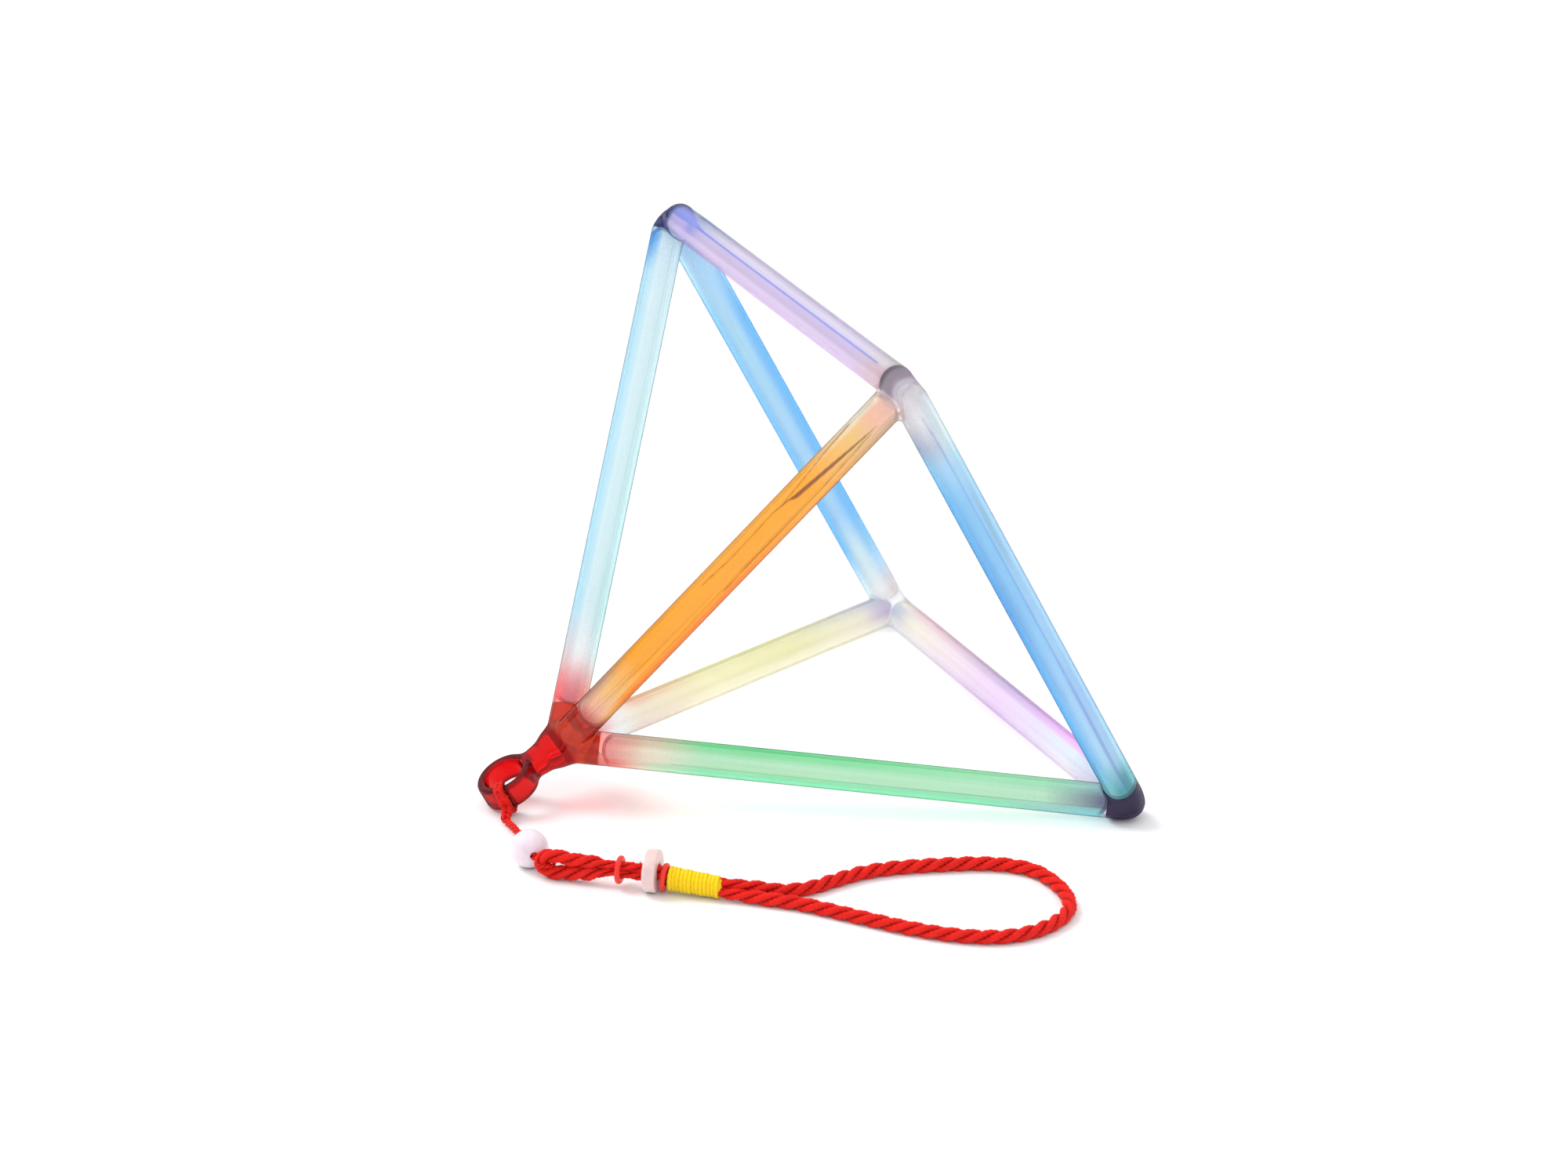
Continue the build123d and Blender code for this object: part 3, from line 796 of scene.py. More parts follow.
def skin_colours(verts):
    """Tint, rim colour and milkiness of the outer glass, from each point's nearest tube and its joints."""
    tint = np.tile(CLEAR, (len(verts), 1))
    rim = np.tile(CLEAR_RIM, (len(verts), 1))
    milk = np.zeros(len(verts))
    lines = {name: tube_line(name) for name in TUBES}
    gaps = [gap_to_line(verts, a, axis, 0, length) for a, axis, length, _ in lines.values()]
    owner = np.argmin(gaps, axis=0)
    for i, (name, (a, axis, length, side)) in enumerate(lines.items()):
        mine = owner == i
        if not mine.any():
            continue
        spec = TUBES[name]
        t = (verts[mine] - a) @ axis
        body = stop_colours(spec, t / length, (verts[mine] - a) @ side / TUBE_R)
        tint_here = 1 - (1 - body) * 0.12
        rim_here = body**0.8 * spec["outline"]
        milk_here = np.zeros(len(t))
        if "blush" in spec:
            colour, near, far = spec["blush"]
            tint_here = lerp(tint_here, linear(colour), (1 - smoothstep(near, far, t))[:, None])
        for end, dist in zip(spec["ends"], (t, length - t)):
            look = JOINT_TINTS[end]
            lo, hi = FADES.get((end, name), look["fade"])
            k = (1 - smoothstep(lo, hi, dist))[:, None]
            tint_here = lerp(tint_here, np.sqrt(linear(look["tint"])), k)
            rim_here = lerp(rim_here, np.sqrt(linear(look["rim"])), k)
            milk_here = np.maximum(milk_here, look["milk"] * k[:, 0])
        tint[mine] = tint_here
        rim[mine] = rim_here
        milk[mine] = milk_here
    return tint, rim, milk


def glass_piece(name, verts, faces, looks, uv=None):
    """A piece of outer glass that stands for the CAD node of the same name."""
    tint, rim, milk = looks
    obj = make_mesh(name, verts, faces, SKIN, {"tint": rgba(tint, milk), "rim": rgba(rim)}, uv)
    place(obj, "glass_frame", [name])


def build_tube(name):
    spec = TUBES[name]
    a, axis, length, side = tube_line(name)
    t0, t1 = (HUB_STUB if end == "apex" else CORNER_STUB for end in spec["ends"])
    places = np.linspace(t0, length - t1, 190)
    outer, ang, along = rings(a, axis, places, np.full(len(places), TUBE_R), side, SKIN_SIDES)
    uv = np.stack([along * 0.1, ang / (2 * np.pi)], 1)
    glass_piece(name, outer, ring_faces(len(places), SKIN_SIDES), skin_colours(outer), uv)


def build_bore(name):
    """The milky bore, with a round end at each tip."""
    spec = TUBES[name]
    a, axis, length, side = tube_line(name)
    lo, hi = spec["tips"]
    dome = np.linspace(0, np.pi / 2, 14)[1:]
    rise = BORE_R * (1 - np.cos(dome))
    width = BORE_R * np.sin(dome)
    middle = np.linspace(lo + BORE_R, length - hi - BORE_R, 300)[1:-1]
    places = np.concatenate([lo + rise, middle, (length - hi - rise)[::-1]])
    radii = np.concatenate([width, np.full(len(middle), BORE_R), width[::-1]])
    verts, ang, along = rings(a, axis, places, radii, side, BORE_SIDES)
    verts = np.vstack([verts, a + axis * lo, a + axis * (length - hi)])
    along = np.concatenate([along, [lo, length - hi]])
    ang = np.concatenate([ang, [0, 0]])
    outward = side * np.cos(ang)[:, None] + np.cross(axis, side) * np.sin(ang)[:, None]
    front = smoothstep(-0.1, 0.1, outward @ unit(CAM_POS - (a + axis * length / 2)))
    coat = Coat(spec, along / length, (verts - a) @ side / BORE_R, front)
    if name in MARKS:
        MARKS[name](coat)
    paint, edge = np.clip(coat.paint, 0, 1), np.clip(1 - (1 - coat.paint) * 1.25, 0, 1)
    frost = 1 - smoothstep(6.0, 30.0, np.minimum(along - lo, length - hi - along))
    colours = {"paint": rgba(paint, coat.opacity), "edge": rgba(edge, frost)}
    uv = np.stack([along * 0.1, ang / (2 * np.pi)], 1)
    core = make_mesh(name + "_bore", verts, ring_faces(len(places), BORE_SIDES, tips=True), CORE, colours, uv)
    place(core, "glass_frame", [])


class Coat:
    """A bore's colours while being painted: u is along it, w across it, and front masks the near wall."""

    def __init__(self, spec, u, w, front):
        self.u, self.w, self.front = u, w, front
        self.paint = stop_colours(spec, u, w)
        self.opacity = np.full(len(u), 0.72)

    def lay(self, mask, hex_code, strength=1.0):
        self.paint = lerp(self.paint, linear(hex_code), (np.clip(mask, 0, 1) * strength)[:, None])

    def streak(self, points, half_width, hex_code, strength):
        """A fine line through (place along, place across) points."""
        us, ws = zip(*points)
        inside = window(self.u, us[0] - 0.01, us[0], us[-1], us[-1] + 0.01)
        gap = np.abs(self.w - np.interp(self.u, us, ws))
        fine = 1 - smoothstep(half_width * 0.6, half_width * 1.4, gap)
        self.lay(fine * inside * self.front, hex_code, strength)

    def haze(self, at, width, u0, u1, soft, hex_code, strength):
        """A soft streak round the places across that at gives."""
        near = np.exp(-(((self.w - at) / width) ** 2))
        along = window(self.u, u0 - soft, u0 + soft, u1 - soft, u1 + soft)
        self.lay(near * along, hex_code, strength)


def orange_marks(c):
    u, w = c.u, c.w
    places = [0.664, 0.700, 0.715, 0.808, 0.860, 0.910]
    upper = np.interp(u, places, [-0.52, -0.38, -0.31, 0.03, 0.24, 0.42])
    lower = np.interp(u, places, [-0.46, -0.30, -0.02, 0.28, 0.40, 0.50])
    wedge = window(w, upper - 0.03, upper + 0.03, lower - 0.03, lower + 0.03)
    c.opacity += 0.22 * window(u, 0.12, 0.22, 0.86, 0.94)
    c.lay(wedge * c.front * window(u, 0.655, 0.668, 0.90, 0.93), "7a4a2c")
    c.lay(1 - smoothstep(0.083, 0.094, u), "b0505c", 0.7)
    c.streak([(0.459, -0.57), (0.544, -0.42), (0.664, -0.50)], 0.035, "985818", 0.8)
    c.streak([(0.680, -0.42), (0.807, -0.80), (0.878, -0.92)], 0.035, "985c28", 0.8)
    c.streak([(0.480, 0.78), (0.543, 0.73), (0.764, 0.74), (0.900, 0.60)], 0.030, "7c4418", 0.85)
    c.streak([(0.300, 0.72), (0.600, 0.60), (0.800, 0.58), (0.920, 0.52)], 0.025, "985424", 0.6)
    c.streak([(0.100, 0.10), (0.200, 0.26), (0.330, 0.34), (0.460, 0.40)], 0.030, "c87820", 0.50)
    c.streak([(0.090, -0.20), (0.170, -0.05), (0.260, 0.10)], 0.030, "c88040", 0.45)


def top_lilac_marks(c):
    u, w = c.u, c.w
    low = 0.06 + 0.16 * smoothstep(0.05, 0.20, u)
    high = low + 0.10 + 0.95 * (1 - smoothstep(0.04, 0.19, u))
    wedge = window(w, low - 0.05, low + 0.03, high - 0.05, high + 0.05)
    c.lay(wedge * (1 - smoothstep(0.20, 0.26, u)), "8c9cf0", 0.95)
    c.lay(window(u, 0.048, 0.056, 0.10, 0.14) * (1 - smoothstep(low - 0.05, low, w)), "f0d4fa", 0.7)
    c.lay(1 - smoothstep(0.040, 0.050, u), "8c94e4", 0.9)
    c.streak([(0.150, 0.22), (0.500, 0.235), (0.920, 0.24)], 0.065, "6484ee", 0.9)
    # Painted highlight: the pale line along the upper side stands for a light's reflection.
    c.streak([(0.200, 0.62), (0.900, 0.60)], 0.050, "f6f0fa", 0.5)


def near_blue_marks(c):
    u, w = c.u, c.w
    c.streak([(0.060, 0.10), (0.120, 0.22), (0.400, 0.30), (0.660, 0.30)], 0.040, "6c9ae0", 0.7)
    c.haze(0.62, 0.16, 0.24, 0.42, 0.06, "84b4b4", 0.5)
    # The tip is painted near-white: partly the milky end's own colour, partly painted light that makes up for
    # the shade the round end gets.
    c.lay(1 - smoothstep(0.015, 0.05, u), "fbfbfd", 0.9)
    c.haze(0.26 - 0.25 * (u - 0.8), 0.13, 0.66, 0.97, 0.08, "7c90d8", 0.75)
    teal = smoothstep(0.10, 0.30, w) * (1 - 0.6 * smoothstep(0.6, 0.9, w))
    c.lay(smoothstep(0.89, 0.93, u) * teal, "4a9aa4", 0.9)
    c.lay(smoothstep(0.968, 0.975, u) * smoothstep(-0.35, 0.05, w), "3f98a8", 0.7)


def green_marks(c):
    c.streak([(0.200, -0.60), (0.480, -0.60), (0.940, -0.56)], 0.035, "4aa88c", 0.65)
    c.streak([(0.220, -0.50), (0.480, -0.52)], 0.035, "b4e86c", 0.6)
    c.streak([(0.300, 0.30), (0.900, 0.26)], 0.030, "8cd8ac", 0.4)


def yellow_marks(c):
    c.lay(smoothstep(0.955, 0.970, c.u) * smoothstep(0.72, 0.92, -c.w), "2c3468", 0.85)


def cyan_marks(c):
    # Painted highlight: the near-white line just left of the middle stands for a light's reflection along the
    # tube.
    c.streak([(0.150, -0.30), (0.500, -0.26), (0.950, -0.20)], 0.060, "f4fcff", 0.6)
    c.streak([(0.200, 0.62), (0.940, 0.62)], 0.035, "9cd4dc", 0.5)


MARKS = {
    "orange_side_tube": orange_marks, "top_lilac_tube": top_lilac_marks, "near_blue_tube": near_blue_marks,
    "green_side_tube": green_marks, "yellow_side_tube": yellow_marks, "cyan_side_tube": cyan_marks,
}
for tube_name in TUBES:
    build_tube(tube_name)
    build_bore(tube_name)


def ways(point):
    """The tubes that leave a meeting point, with their directions."""
    out = {}
    for name, spec in TUBES.items():
        if point in spec["ends"]:
            first, second = spec["ends"]
            out[name] = unit(POINTS[second if point == first else first] - POINTS[point])
    return out


# The joints: their material slot, how far inside the meeting point the ball sits, where the straight tubes
# begin from the meeting point, and how widely they melt into the ball
SHAPES = {
    "top_far": dict(slot="slate_glass", shift=3.0, start=5.6, melt=1.8),
    "top_near": dict(slot="pale_glass", shift=1.6, start=4.6, melt=1.6),
    "ground_near": dict(slot="violet_glass", shift=0.7, start=3.4, melt=1.2),
    "ground_far": dict(slot="pale_glass", shift=1.0, start=3.6, melt=1.4),
    "apex": dict(slot="brick_red_glass", shift=0.0, start=0.0, melt=1.2),
}


def joint_distance(p, name, directions, ball_r, tube_r):
    """Distance to a ball that melts into the tubes that leave it."""
    vertex, shape = POINTS[name], SHAPES[name]
    d = np.linalg.norm(p - (vertex + unit(sum(directions)) * shape["shift"]), axis=-1) - ball_r
    for direction in directions:
        d = smooth_min(d, rod(p, vertex + direction * shape["start"], direction, tube_r), shape["melt"])
    return d


def build_corner(name):
    vertex, directions = POINTS[name], list(ways(name).values())
    reach = CORNER_STUB + 1.5

    def field(p):
        return joint_distance(p, name, directions, TUBE_R, TUBE_R)

    balls = [(vertex, 6.2)] + [(vertex + d * reach, 4.8) for d in directions]
    verts, faces = surface_net(field, balls, CORNER_GRID)
    verts, faces = cut(verts, faces, [(vertex + d * CORNER_STUB, d) for d in directions])
    glass_piece(name + "_corner", verts, faces, skin_colours(verts))


for corner_name in ("top_far", "top_near", "ground_near", "ground_far"):
    build_corner(corner_name)


# Hub, neck and ring, as one smooth shape that is then cut into its three pieces
def ring_distance(p):
    axial = (p - RING_CENTRE) @ UP_BASE
    radial = gap_to_line(p, RING_CENTRE, UP_BASE)
    mid, half = (RING_R + RING_HOLE_R) / 2, (RING_R - RING_HOLE_R) / 2
    rounding = 1.15
    q0 = np.abs(radial - mid) - (half - rounding)
    q1 = np.abs(axial) - (RING_HALF - rounding)
    outside = np.sqrt(np.maximum(q0, 0) ** 2 + np.maximum(q1, 0) ** 2)
    return outside + np.minimum(np.maximum(q0, q1), 0) - rounding


def neck_distance(p):
    s = (p - APEX) @ TO_APEX
    radius = np.interp(s, [0.0, 3.0, 5.0, 6.6, 8.5, 10.5], [4.9, 4.7, 4.25, 4.1, 3.9, 3.7])
    return np.maximum(np.maximum(gap_to_line(p, APEX, TO_APEX) - radius, -s), s - 10.2)


def lug_field(p):
    d = np.linalg.norm(p - APEX, axis=-1) - HUB_R
    for direction in ways("apex").values():
        d = smooth_min(d, rod(p, APEX, direction, TUBE_R), 1.2)
    d = smooth_min(d, neck_distance(p), 2.2)
    hole = RING_HOLE_R + 0.1 - gap_to_line(p, RING_CENTRE, UP_BASE)
    return np.maximum(smooth_min(d, ring_distance(p), 1.3), hole)


def lug_colours(verts, is_ring):
    """The tubes' own colours far from the hub, brick red on it, and bright red from the neck on."""
    tint, rim, milk = skin_colours(verts)
    reach = np.max([(verts - APEX) @ d for d in ways("apex").values()], axis=0)
    k = (1 - smoothstep(9.0, 11.5, reach))[:, None]
    red = smoothstep(-1.0, 0.8, (verts - APEX) @ TO_APEX)[:, None]
    tint = lerp(tint, lerp(np.sqrt(linear("e88468")), np.sqrt(linear("d80a0c")), red), k)
    rim = lerp(rim, lerp(np.sqrt(linear("5c1412")), np.sqrt(linear("3c0410")), red), k)
    milk = lerp(milk, lerp(0.10, 0.06, red[:, 0]), k[:, 0])
    if is_ring:
        band = smoothstep(2.45, 2.95, np.abs((verts - RING_CENTRE) @ UP_BASE))[:, None]
        tint = lerp(tint, np.sqrt(linear("7c0e1e")), band)
        milk = lerp(milk, 0.20, band[:, 0])
    return tint, rim, milk


def build_lug():
    tubes = list(ways("apex").values())
    balls = [(APEX, 7), (RING_CENTRE, 9)] + [(APEX + d * 12, 5) for d in tubes]
    whole = surface_net(lug_field, balls, 0.34)
    neck, ring = APEX + TO_APEX * NECK_START, APEX + TO_APEX * RING_START
    ends = [(APEX + d * HUB_STUB, d) for d in tubes]
    for name, planes, slot in (
        ("apex_hub", ends + [(neck, TO_APEX)], "brick_red_glass"),
        ("lug_neck", [(neck, -TO_APEX), (ring, TO_APEX)], "red_glass"),
        ("lug_ring", [(ring, -TO_APEX)], "red_glass"),
    ):
        verts, faces = cut(*whole, planes)
        glass_piece(name, verts, faces, lug_colours(verts, name == "lug_ring"))


build_lug()

# Coloured glass hearts inside the joints, kept clear of the bores. Each gives how far it reaches along each
# of its tubes, its colour, how milky it is, and the colour of its flanks.
HEARTS = {
    "apex": (
        {"cyan_side_tube": 10.6, "orange_side_tube": 11.2, "yellow_side_tube": 10.4, "green_side_tube": 10.0},
        "f4744c", 0.30, "b03c28"),
    "top_far": (
        {"cyan_side_tube": 4.2, "top_lilac_tube": 4.4, "far_blue_tube": 5.0}, "5054a0", 0.40, "34346a"),
    "top_near": (
        {"orange_side_tube": 4.8, "top_lilac_tube": 5.6, "near_blue_tube": 3.0}, "644870", 0.25, "402830"),
    "ground_near": (
        {"green_side_tube": 6.0, "near_blue_tube": 4.3, "ground_lilac_tube": 6.2}, "402468", 0.50, "1e1038"),
}
# The near blue bore runs past its corner, with only clear glass over it.
BORE_CLEARANCE = {("top_near", "near_blue_tube"): 0.5}


def bore_distance(p, name):
    a, axis, length, _ = tube_line(name)
    lo, hi = TUBES[name]["tips"]
    return gap_to_line(p, a, axis, lo + BORE_R, length - hi - BORE_R) - BORE_R


def build_heart(name):
    reaches, hex_code, milk, dark_hex = HEARTS[name]
    vertex = POINTS[name]
    directions = {tube: ways(name)[tube] for tube in reaches}
    around = list(directions.values())

    def field(p):
        d = joint_distance(p, name, around, HUB_HEART_R if name == "apex" else HEART_R, HEART_R)
        if name == "apex":
            d = -smooth_min(-d, 0.2 - (p - vertex) @ TO_APEX, 0.8)
        for tube, direction in directions.items():
            beyond = (p - vertex) @ direction - reaches[tube]
            d = -smooth_min(-d, -beyond, 1.2)
            clearance = BORE_CLEARANCE.get((name, tube), 0.12)
            d = -smooth_min(-d, bore_distance(p, tube) - clearance, 0.3)
        return d

    reach = max(reaches.values()) + 1.0
    balls = [(vertex, 6.5)] + [(vertex + d * reach, 4.6) for d in around]
    verts, faces = surface_net(field, balls, CORNER_GRID)
    pale = np.zeros(len(verts))
    if name == "top_near":
        pale = 1 - smoothstep(2.6, 4.2, (verts - vertex) @ directions["top_lilac_tube"])
    material = glass_heart(name + "_heart", hex_code, milk, dark_hex)
    obj = make_mesh(name + "_heart", verts, faces, material, {"pale": grey(pale)})
    place(obj, "glass_frame", [])


for heart_name in HEARTS:
    build_heart(heart_name)


# Cord parts
def cord(name, data, body, nodes, material=RED_CORD):
    verts, faces, uv, height = data
    # Painted shade: the cord is painted darker where its height is low, in the grooves between strands.
    groove_shade = 0.30 + 0.70 * smoothstep(0.50, 0.92, height)
    return place(make_mesh(name, verts, faces, material, {"groove_shade": grey(groove_shade)}, uv), body, nodes)


# Hand loop, one rope from the whipping round and back
NEAR_SIDE = [(24, -0.9), (30, -1.0), (38, -1.2), (47, -2.9), (57, -5.2), (68, -7.5), (78, -8.5), (86, -8.0),
             (93, -5.9), (99, -1.4), (103.2, 5.0)]
FAR_SIDE = [(105.2, 13.0), (103.0, 21.5), (97.0, 29.8), (91.5, 34.0), (84.5, 35.2), (77, 34.0), (70, 31.5),
            (63, 28.6), (56.5, 25.4), (50, 20.8), (44.5, 14.8), (39, 8.4), (33, 4.6), (27, 2.4)]


def build_hand_loop():
    """Its two legs leave the whipping one above the other and settle on the table."""
    near_points = [on_strap(16.0, 2.3, -0.8), on_strap(19.5, 2.2, -0.95)]
    near_points += [on_strap(a, 1.85 + 0.2 * (1 - smoothstep(18, 40, a)), left) for a, left in NEAR_SIDE]
    far_points = [on_strap(a, 1.85 + 2.2 * (1 - smoothstep(20, 36, a)), left) for a, left in FAR_SIDE]
    far_points += [on_strap(19.5, 4.0, 0.75), on_strap(16.0, 3.9, 0.7)]
    path = spline(near_points + far_points, 0.5)

    def scale(s):
        return 0.80 + 0.20 * smoothstep(2.0, 14.0, np.minimum(s, s[-1] - s))

    data = rope(path, HAND_ROPE_R, 14.5, scale=scale, step=0.28, phase=0.4)
    loop = cord("hand_loop_cord", data, None, ["hand_loop_cord"])
    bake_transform(loop)


build_hand_loop()

BIGHT = 2.4  # radius of the small loop's turn round the link's eye
EYE_ALONG = (EYE - STRAP_FOOT) @ ALONG
EYE_H = EYE[2]


def build_small_loop():
    """On edge: out of the disc, round the eye and back, with a waist where the front O-ring sits."""
    lower_leg = [(-2.2, 3.85, 0.1), (-6.0, 3.75, 0.0), (-8.6, 3.8, -0.05), (-11.5, 3.8, -0.1),
                 (-15.5, 3.05, -0.35), (-20.0, 2.45, -0.3), (EYE_ALONG + 1.5, 2.05, -0.1)]
    turn = [(EYE_ALONG - 0.9 - math.sin(a) * BIGHT, EYE_H - math.cos(a) * BIGHT * 0.92, 0.0)
            for a in np.linspace(0.2, math.pi - 0.2, 7)]
    upper_leg = [(EYE_ALONG + 1.8, EYE_H + BIGHT * 0.86, 0.1), (-20.0, 5.75, 0.3), (-15.5, 5.85, 0.3),
                 (-11.5, 5.8, 0.1), (-8.6, 5.8, 0.1), (-6.0, 5.9, 0.0), (-2.2, 5.95, 0.0)]
    path = spline([on_strap(*point) for point in lower_leg + turn + upper_leg], 0.4)

    def scale(s):
        end = np.minimum(s, s[-1] - s)
        return 0.72 + 0.28 * smoothstep(10.0, 15.0, end) - 0.10 * window(end, 2.8, 5.0, 10.4, 13.0)

    cord("small_loop_cord", rope(path, ROPE_R, 13.5, scale=scale, step=0.28), "strap", ["small_loop_cord"])


def build_core_cord():
    """The cord inside the disc and the whipping."""
    points = [(-2.0, DISC[2]), (1.4, DISC[2] - 0.05), (2.8, 4.6), (4.4, 4.1), (10, 3.7), (17.6, 3.15)]
    path = spline([on_strap(*point) for point in points], 0.4)
    cord("core_cord", rope(path, ROPE_R, 12.0), "strap", ["core_cord"])


def build_frays():
    """Frayed cord ends between the front O-ring and the disc."""
    strands = []
    for k in range(34):
        angle = RNG.uniform(-0.3, math.pi + 0.3)
        root = on_strap(RNG.uniform(-5.6, -2.4), 4.9 + 1.55 * math.sin(angle), 1.2 * math.cos(angle))
        lift = RNG.uniform(0.5, 1.5) * (2.2 if k % 9 == 0 else 1.0)
        lean = ALONG * RNG.uniform(-0.4, 1.0)
        rise = UP * lift * max(math.sin(angle), 0.15)
        tip = root + rise + LEFT * lift * math.cos(angle) * 0.6 + lean
        mid = (root + tip) / 2 + RNG.normal(0, 0.16, 3)
        strands.append(sweep(spline([root, mid, tip], 0.25), 0.07, 5))
    cord("frayed_cord_ends", merge(strands), "strap", [])


def build_whipping():
    """One thread wound in a tapering coil, over a plain filler."""
    start = on_strap(3.95, 4.1)
    length = np.linalg.norm(on_strap(18.25, 3.1) - start)
    turns = 13.0
    share = np.linspace(0, 1, int(turns * 48))
    upright = np.cross(LEFT, WHIP_AXIS)
    upright = upright if upright[2] > 0 else -upright
    thread_r = length / turns / 2 * 1.04
    radius = 2.62 - 0.30 * share + 0.08 * np.sin(share * 21.0) + 0.05 * np.sin(share * 47.0)
    a = share * turns * 2 * np.pi
    around = LEFT * np.cos(a)[:, None] + upright * np.sin(a)[:, None]
    along = WHIP_AXIS * (thread_r + share * (length - 2 * thread_r))[:, None]

    def relief(x, ang):
        return 1 + 0.10 * np.cos(3 * ang - 2 * np.pi * x / 1.5) + 0.05 * np.cos(2 * ang + 2 * np.pi * x / 0.9)

    thread = sweep(start + along + around * radius[:, None], thread_r, 12, relief)
    filler_path = start + WHIP_AXIS * np.linspace(0.5, length - 0.4, 20)[:, None]
    filler = sweep(filler_path, 2.35 - 0.25 * np.linspace(0, 1, 20), 32)
    cord("yellow_whipping", merge([thread, filler]), "strap", ["yellow_whipping"], YELLOW_THREAD)


for build in (build_small_loop, build_core_cord, build_frays, build_whipping):
    build()


# O-rings, disc and bead, all turned profiles
def build_o_ring(name, axis, body):
    lo, hi = box_mm(name)
    angles = -np.arange(24) * 2 * np.pi / 24
    profile = [(O_RING_R + O_RING_SECTION_R * math.cos(a), O_RING_SECTION_R * math.sin(a)) for a in angles]
    lathe(name, (lo + hi) / 2, axis, profile, RUBBER, body)


def build_disc():
    """A ring section: flat faces, a rounded outer edge and a smaller rounded inner one."""
    inner, outer, half, r_out, r_in = 1.99, 5.6, 1.65, 0.55, 0.25
    profile = []
    for cx, cy, r, a0 in (
        (outer - r_out, half - r_out, r_out, 90), (outer - r_out, -half + r_out, r_out, 0),
        (inner + r_in, -half + r_in, r_in, -90), (inner + r_in, half - r_in, r_in, -180),
    ):
        for a in np.radians(a0 - np.arange(7) * 15):
            profile.append((cx + r * math.cos(a), cy + r * math.sin(a)))
    lathe("stone_disc", DISC, ALONG, profile, DISC_STONE, "disc")


def build_bead():
    hole = 1.02
    mouth = math.asin(hole / BEAD_R) + 0.02
    profile = [(BEAD_R * math.sin(a), BEAD_R * math.cos(a)) for a in np.linspace(mouth, math.pi - mouth, 60)]
    profile += [(hole, -4.78), (hole, 4.78)]
    lathe("milky_bead", BEAD, BEAD_AXIS, profile, BEAD_STONE, "bead")


build_o_ring("front_o_ring", ALONG, "o_ring_front")
build_o_ring("rear_o_ring", WHIP_AXIS, "o_ring_rear")
build_disc()
build_bead()


def build_link():
    """A two-ply cord from the knot through the bead, and a thin eye through the small loop."""
    before, after = BEAD - BEAD_AXIS * 5.4, BEAD + BEAD_AXIS * 5.1
    path = spline([LINK_ROOT + np.array([0.3, 1.2, 0.1]), LINK_ROOT, (LINK_ROOT * 2 + before) / 3 + UP * 0.15,
                   (LINK_ROOT + before * 2) / 3, before, BEAD, after], 0.3)
    through = rope(path, 0.95, 5.2, strands=2, sides=10, ply=0.9, step=0.22)
    centre = on_strap(EYE_ALONG - BIGHT, EYE_H)
    to_bead = unit((after - centre) * np.array([1, 1, 0]))
    aside = np.cross(UP, to_bead)
    ring = [centre + to_bead * BIGHT * math.cos(a) + aside * BIGHT * math.sin(a)
            for a in np.linspace(0.12, 2 * math.pi - 0.12, 24)]
    tie = after - BEAD_AXIS * 0.4
    path = spline([tie, (after + ring[0]) / 2] + ring + [(after + ring[-1]) / 2, tie], 0.25)
    eye = rope(path, 0.5, 2.6, strands=2, sides=8, ply=0.6, step=0.18)
    cord("link_cord", merge([through, eye]), "link", ["link_cord"])


build_link()


def braid(centre_line, across, width, thick, lay):
    """A flat braid of four cords that cross. across(s, whole length) gives its broad direction."""
    parts = []
    p = resample(centre_line, 0.16)
    s = arc_lengths(p)
    t = tangents(p)
    wide = across(s, s[-1])
    out = np.cross(t, wide)
    out /= np.linalg.norm(out, axis=1)[:, None]
    w = width(s / s[-1])
    h = thick(s / s[-1])
    cycles = max(round(s[-1] / lay), 1)
    for k in range(4):
        a = 2 * np.pi * (s / s[-1] * cycles) + k * np.pi / 2
        centre = p + wide * (np.sin(a) * w * 0.34)[:, None] + out * (np.sin(2 * a) * h * 0.26)[:, None]
        strand = w * 0.185

        def relief(x, ang):
            return 1 + 0.12 * np.cos(2 * ang + x * 5.0)

        v, f, u, height = sweep(centre, strand, 10, relief, flatten=(out, h / strand * 0.36))
        # Painted shade: height is lowered at each strand's sides and where the strand dips under the others,
        # and cord() paints the braid darker there.
        aside = ((v[:-2].reshape(len(p), 10, 3) - centre[:, None]) * wide[:, None]).sum(-1) / strand[:, None]
        low = np.sin(2 * a) < 0
        height[:-2] = (1 - 0.42 * np.abs(aside) ** 1.5 - 0.10 * low[:, None]).ravel()
        parts.append((v, f, u, height))
    return merge(parts)


def rounded_rectangle(half_a, half_b, r):
    """Points round a rounded rectangle, as (a, b) pairs."""
    pts = []
    for ca, cb, a0 in ((half_a - r, half_b - r, 0), (-half_a + r, half_b - r, 90),
                       (-half_a + r, -half_b + r, 180), (half_a - r, -half_b + r, 270)):
        for a in np.radians(a0 + np.arange(9) * 11.25):
            pts.append((ca + r * math.cos(a), cb + r * math.sin(a)))
    return np.array(pts + pts[:1])


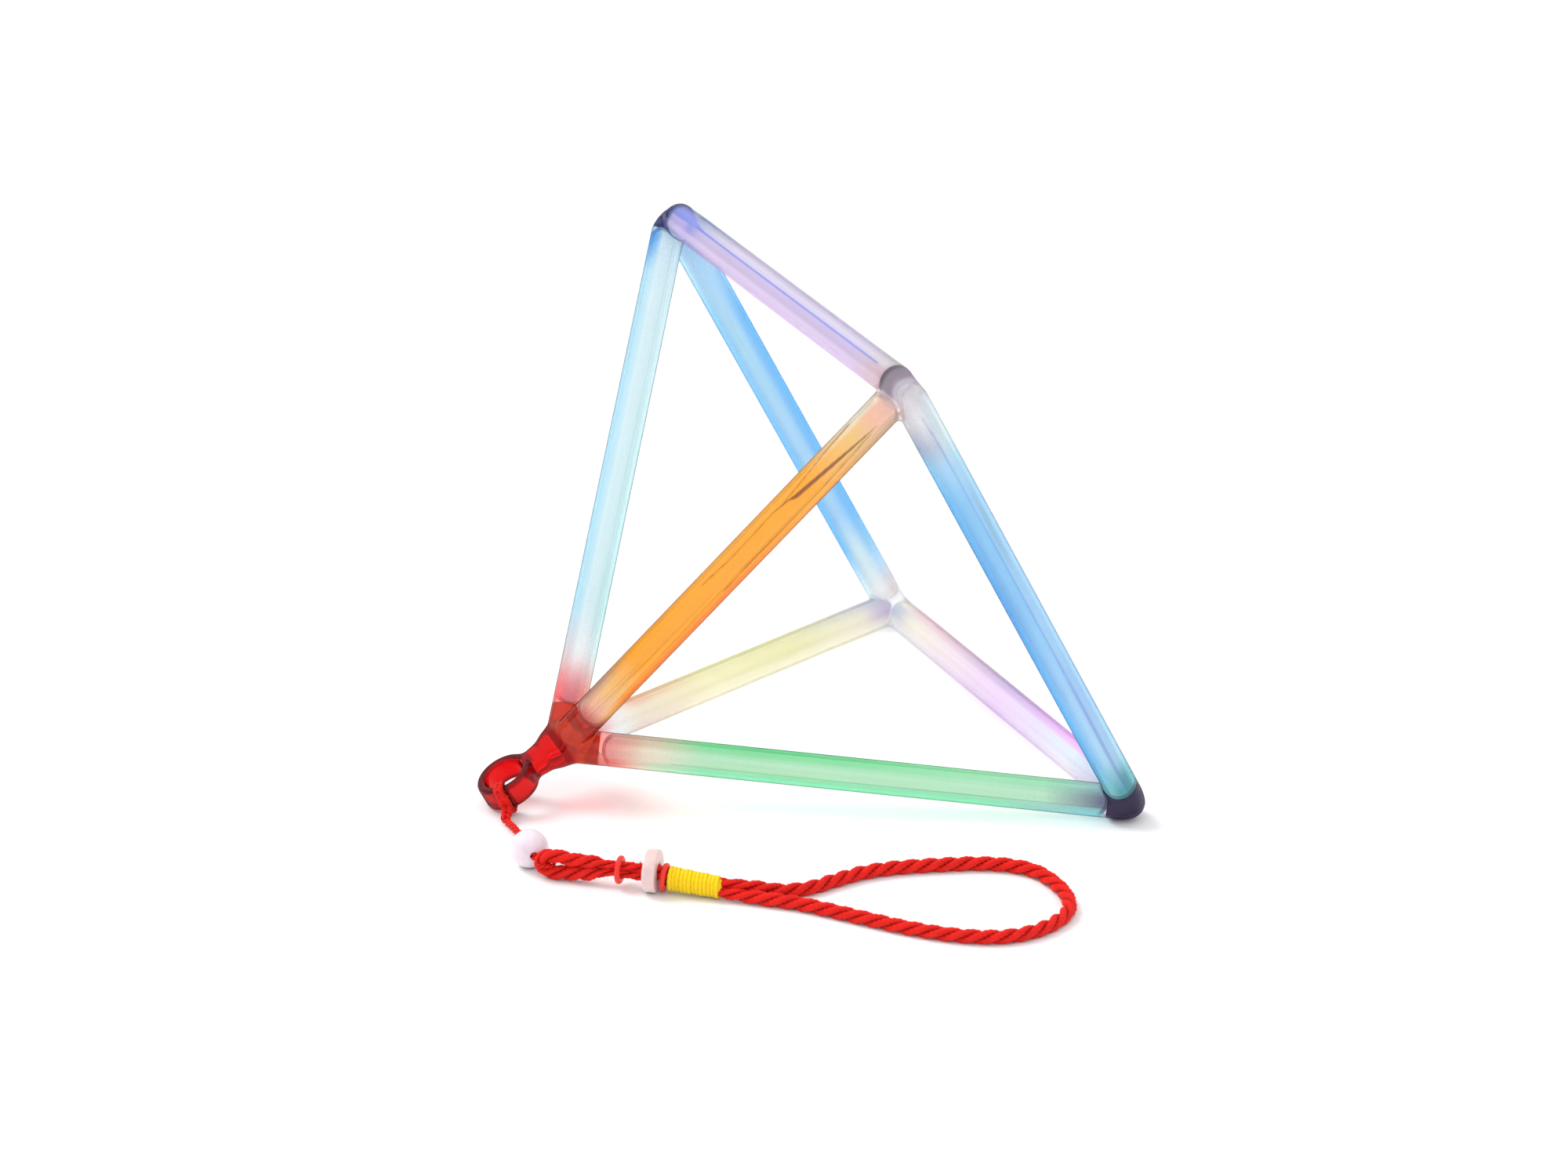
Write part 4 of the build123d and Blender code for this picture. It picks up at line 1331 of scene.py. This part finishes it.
def build_sleeve():
    """A flat braid round the ring's wall, with a tapering tail to the knot."""
    angle = math.radians(-57.0)
    wrap_out = TO_APEX * math.cos(angle) + SIDE * math.sin(angle)
    wrap_tangent = np.cross(UP_BASE, wrap_out)
    wall_mid, wall_half = (RING_R + RING_HOLE_R) / 2, (RING_R - RING_HOLE_R) / 2
    ab = rounded_rectangle(wall_half + 0.52, RING_HALF + 0.52, 0.9)
    round_wall = RING_CENTRE + wrap_out * (wall_mid + ab[:, :1]) + UP_BASE * ab[:, 1:]
    tail_start = RING_CENTRE + wrap_out * (RING_R + 0.75) - UP_BASE * 1.6
    tail_line = spline([tail_start + UP_BASE * 3.0, tail_start, (tail_start + LINK_ROOT) / 2 + UP * 0.25,
                        LINK_ROOT + np.array([0.25, 1.4, 0.35]), LINK_ROOT + np.array([0.0, 0.2, 0.25])], 0.2)

    def sleeve_across(s, total):
        return np.tile(wrap_tangent, (len(s), 1))

    def sleeve_width(u):
        """Narrow where it passes the ring's upper rim, wide outside and below."""
        return 3.1 - 0.9 * np.exp(-(((u - 0.25) / 0.16) ** 2))

    def tail_across(s, total):
        flat = unit(np.cross(LINK_ROOT - tail_start, UP))
        flat = flat if flat @ wrap_tangent > 0 else -flat
        v = lerp(wrap_tangent, flat, smoothstep(0.2, 1.0, s / total)[:, None])
        return v / np.linalg.norm(v, axis=1)[:, None]

    sleeve = braid(round_wall, sleeve_across, sleeve_width, lambda u: np.full(len(u), 0.95), 4.4)
    tail = braid(tail_line, tail_across, lambda u: 3.6 - 1.3 * u, lambda u: 1.1 + 0.9 * u, 4.2)
    cord("ring_wrap_cord", merge([sleeve, tail]), "ring_wrap", ["ring_wrap_cord"])


build_sleeve()


# Floor, light and camera
def build_floor():
    m = Nodes("floor_white")
    speck = m.noise(m.object_place(), 30.0, 2.0)
    colour = m.ramp(speck, (0.0, (0.90, 0.90, 0.90)), (1.0, (0.92, 0.92, 0.92)))
    material = m.principled(Base_Color=colour, Roughness=0.9, Specular_IOR_Level=0.1)
    size = 9000.0
    quad = [(-size, -size, 0), (size, -size, 0), (size, size, 0), (-size, size, 0)]
    make_mesh("floor", quad, [(0, 1, 2, 3)], material, smooth=False)


def build_sky():
    """Grey near the horizon, for the glass to refract, and white above."""
    m = Nodes("studio", world=True)
    generated = m.add("ShaderNodeTexCoord").outputs["Generated"]
    up = m.add("ShaderNodeSeparateXYZ", generated).outputs[2]
    greys = ((0.0, 0.30), (0.12, 0.42), (0.30, 0.92), (1.0, 1.0))
    colour = m.ramp(up, *[(at, (tone, tone, tone * 1.01)) for at, tone in greys])
    bpy.context.scene.world = m.finish(m.value("ShaderNodeBackground", Color=colour, Strength=1.10))


def build_light(name, kind, where_m, heading, **settings):
    data = bpy.data.lights.new(name, kind)
    for key, value in settings.items():
        setattr(data, key, value)
    lamp = bpy.data.objects.new(name, data)
    bpy.context.scene.collection.objects.link(lamp)
    lamp.location = where_m
    lamp.rotation_euler = Vector(heading).to_track_quat("-Z", "Y").to_euler()
    lamp.visible_glossy = False


def build_camera():
    data = bpy.data.cameras.new("camera")
    data.sensor_width = 36.0
    data.lens = 138.15
    data.clip_start = 0.05
    data.clip_end = 60.0
    data.dof.use_dof = True
    data.dof.focus_distance = float((POINTS["apex"] - CAM_POS) @ CAM_FWD) * MM
    data.dof.aperture_fstop = 18.0
    cam = bpy.data.objects.new("camera", data)
    bpy.context.scene.collection.objects.link(cam)
    matrix = np.eye(4)
    matrix[:3] = np.stack([CAM_RIGHT, CAM_UP, -CAM_FWD, CAM_POS * MM], 1)
    cam.matrix_world = Matrix(matrix.tolist())
    bpy.context.scene.camera = cam


build_floor()
build_sky()
build_light("key", "SUN", (-0.6, 0.7, 1.1), (0.42, -0.52, -0.75), energy=1.6, angle=math.radians(32))
build_light("softbox", "AREA", (-0.55, -0.9, 0.9), (0.48, 0.88, -0.85), shape="RECTANGLE", size=0.35,
            size_y=0.5, energy=1.2)
build_camera()
scene = bpy.context.scene
scene.view_settings.view_transform = "Standard"
scene.cycles.max_bounces = 12
scene.cycles.diffuse_bounces = 3
scene.cycles.glossy_bounces = 8
scene.cycles.transmission_bounces = 12
scene.cycles.transparent_max_bounces = 16
scene.cycles.caustics_reflective = False
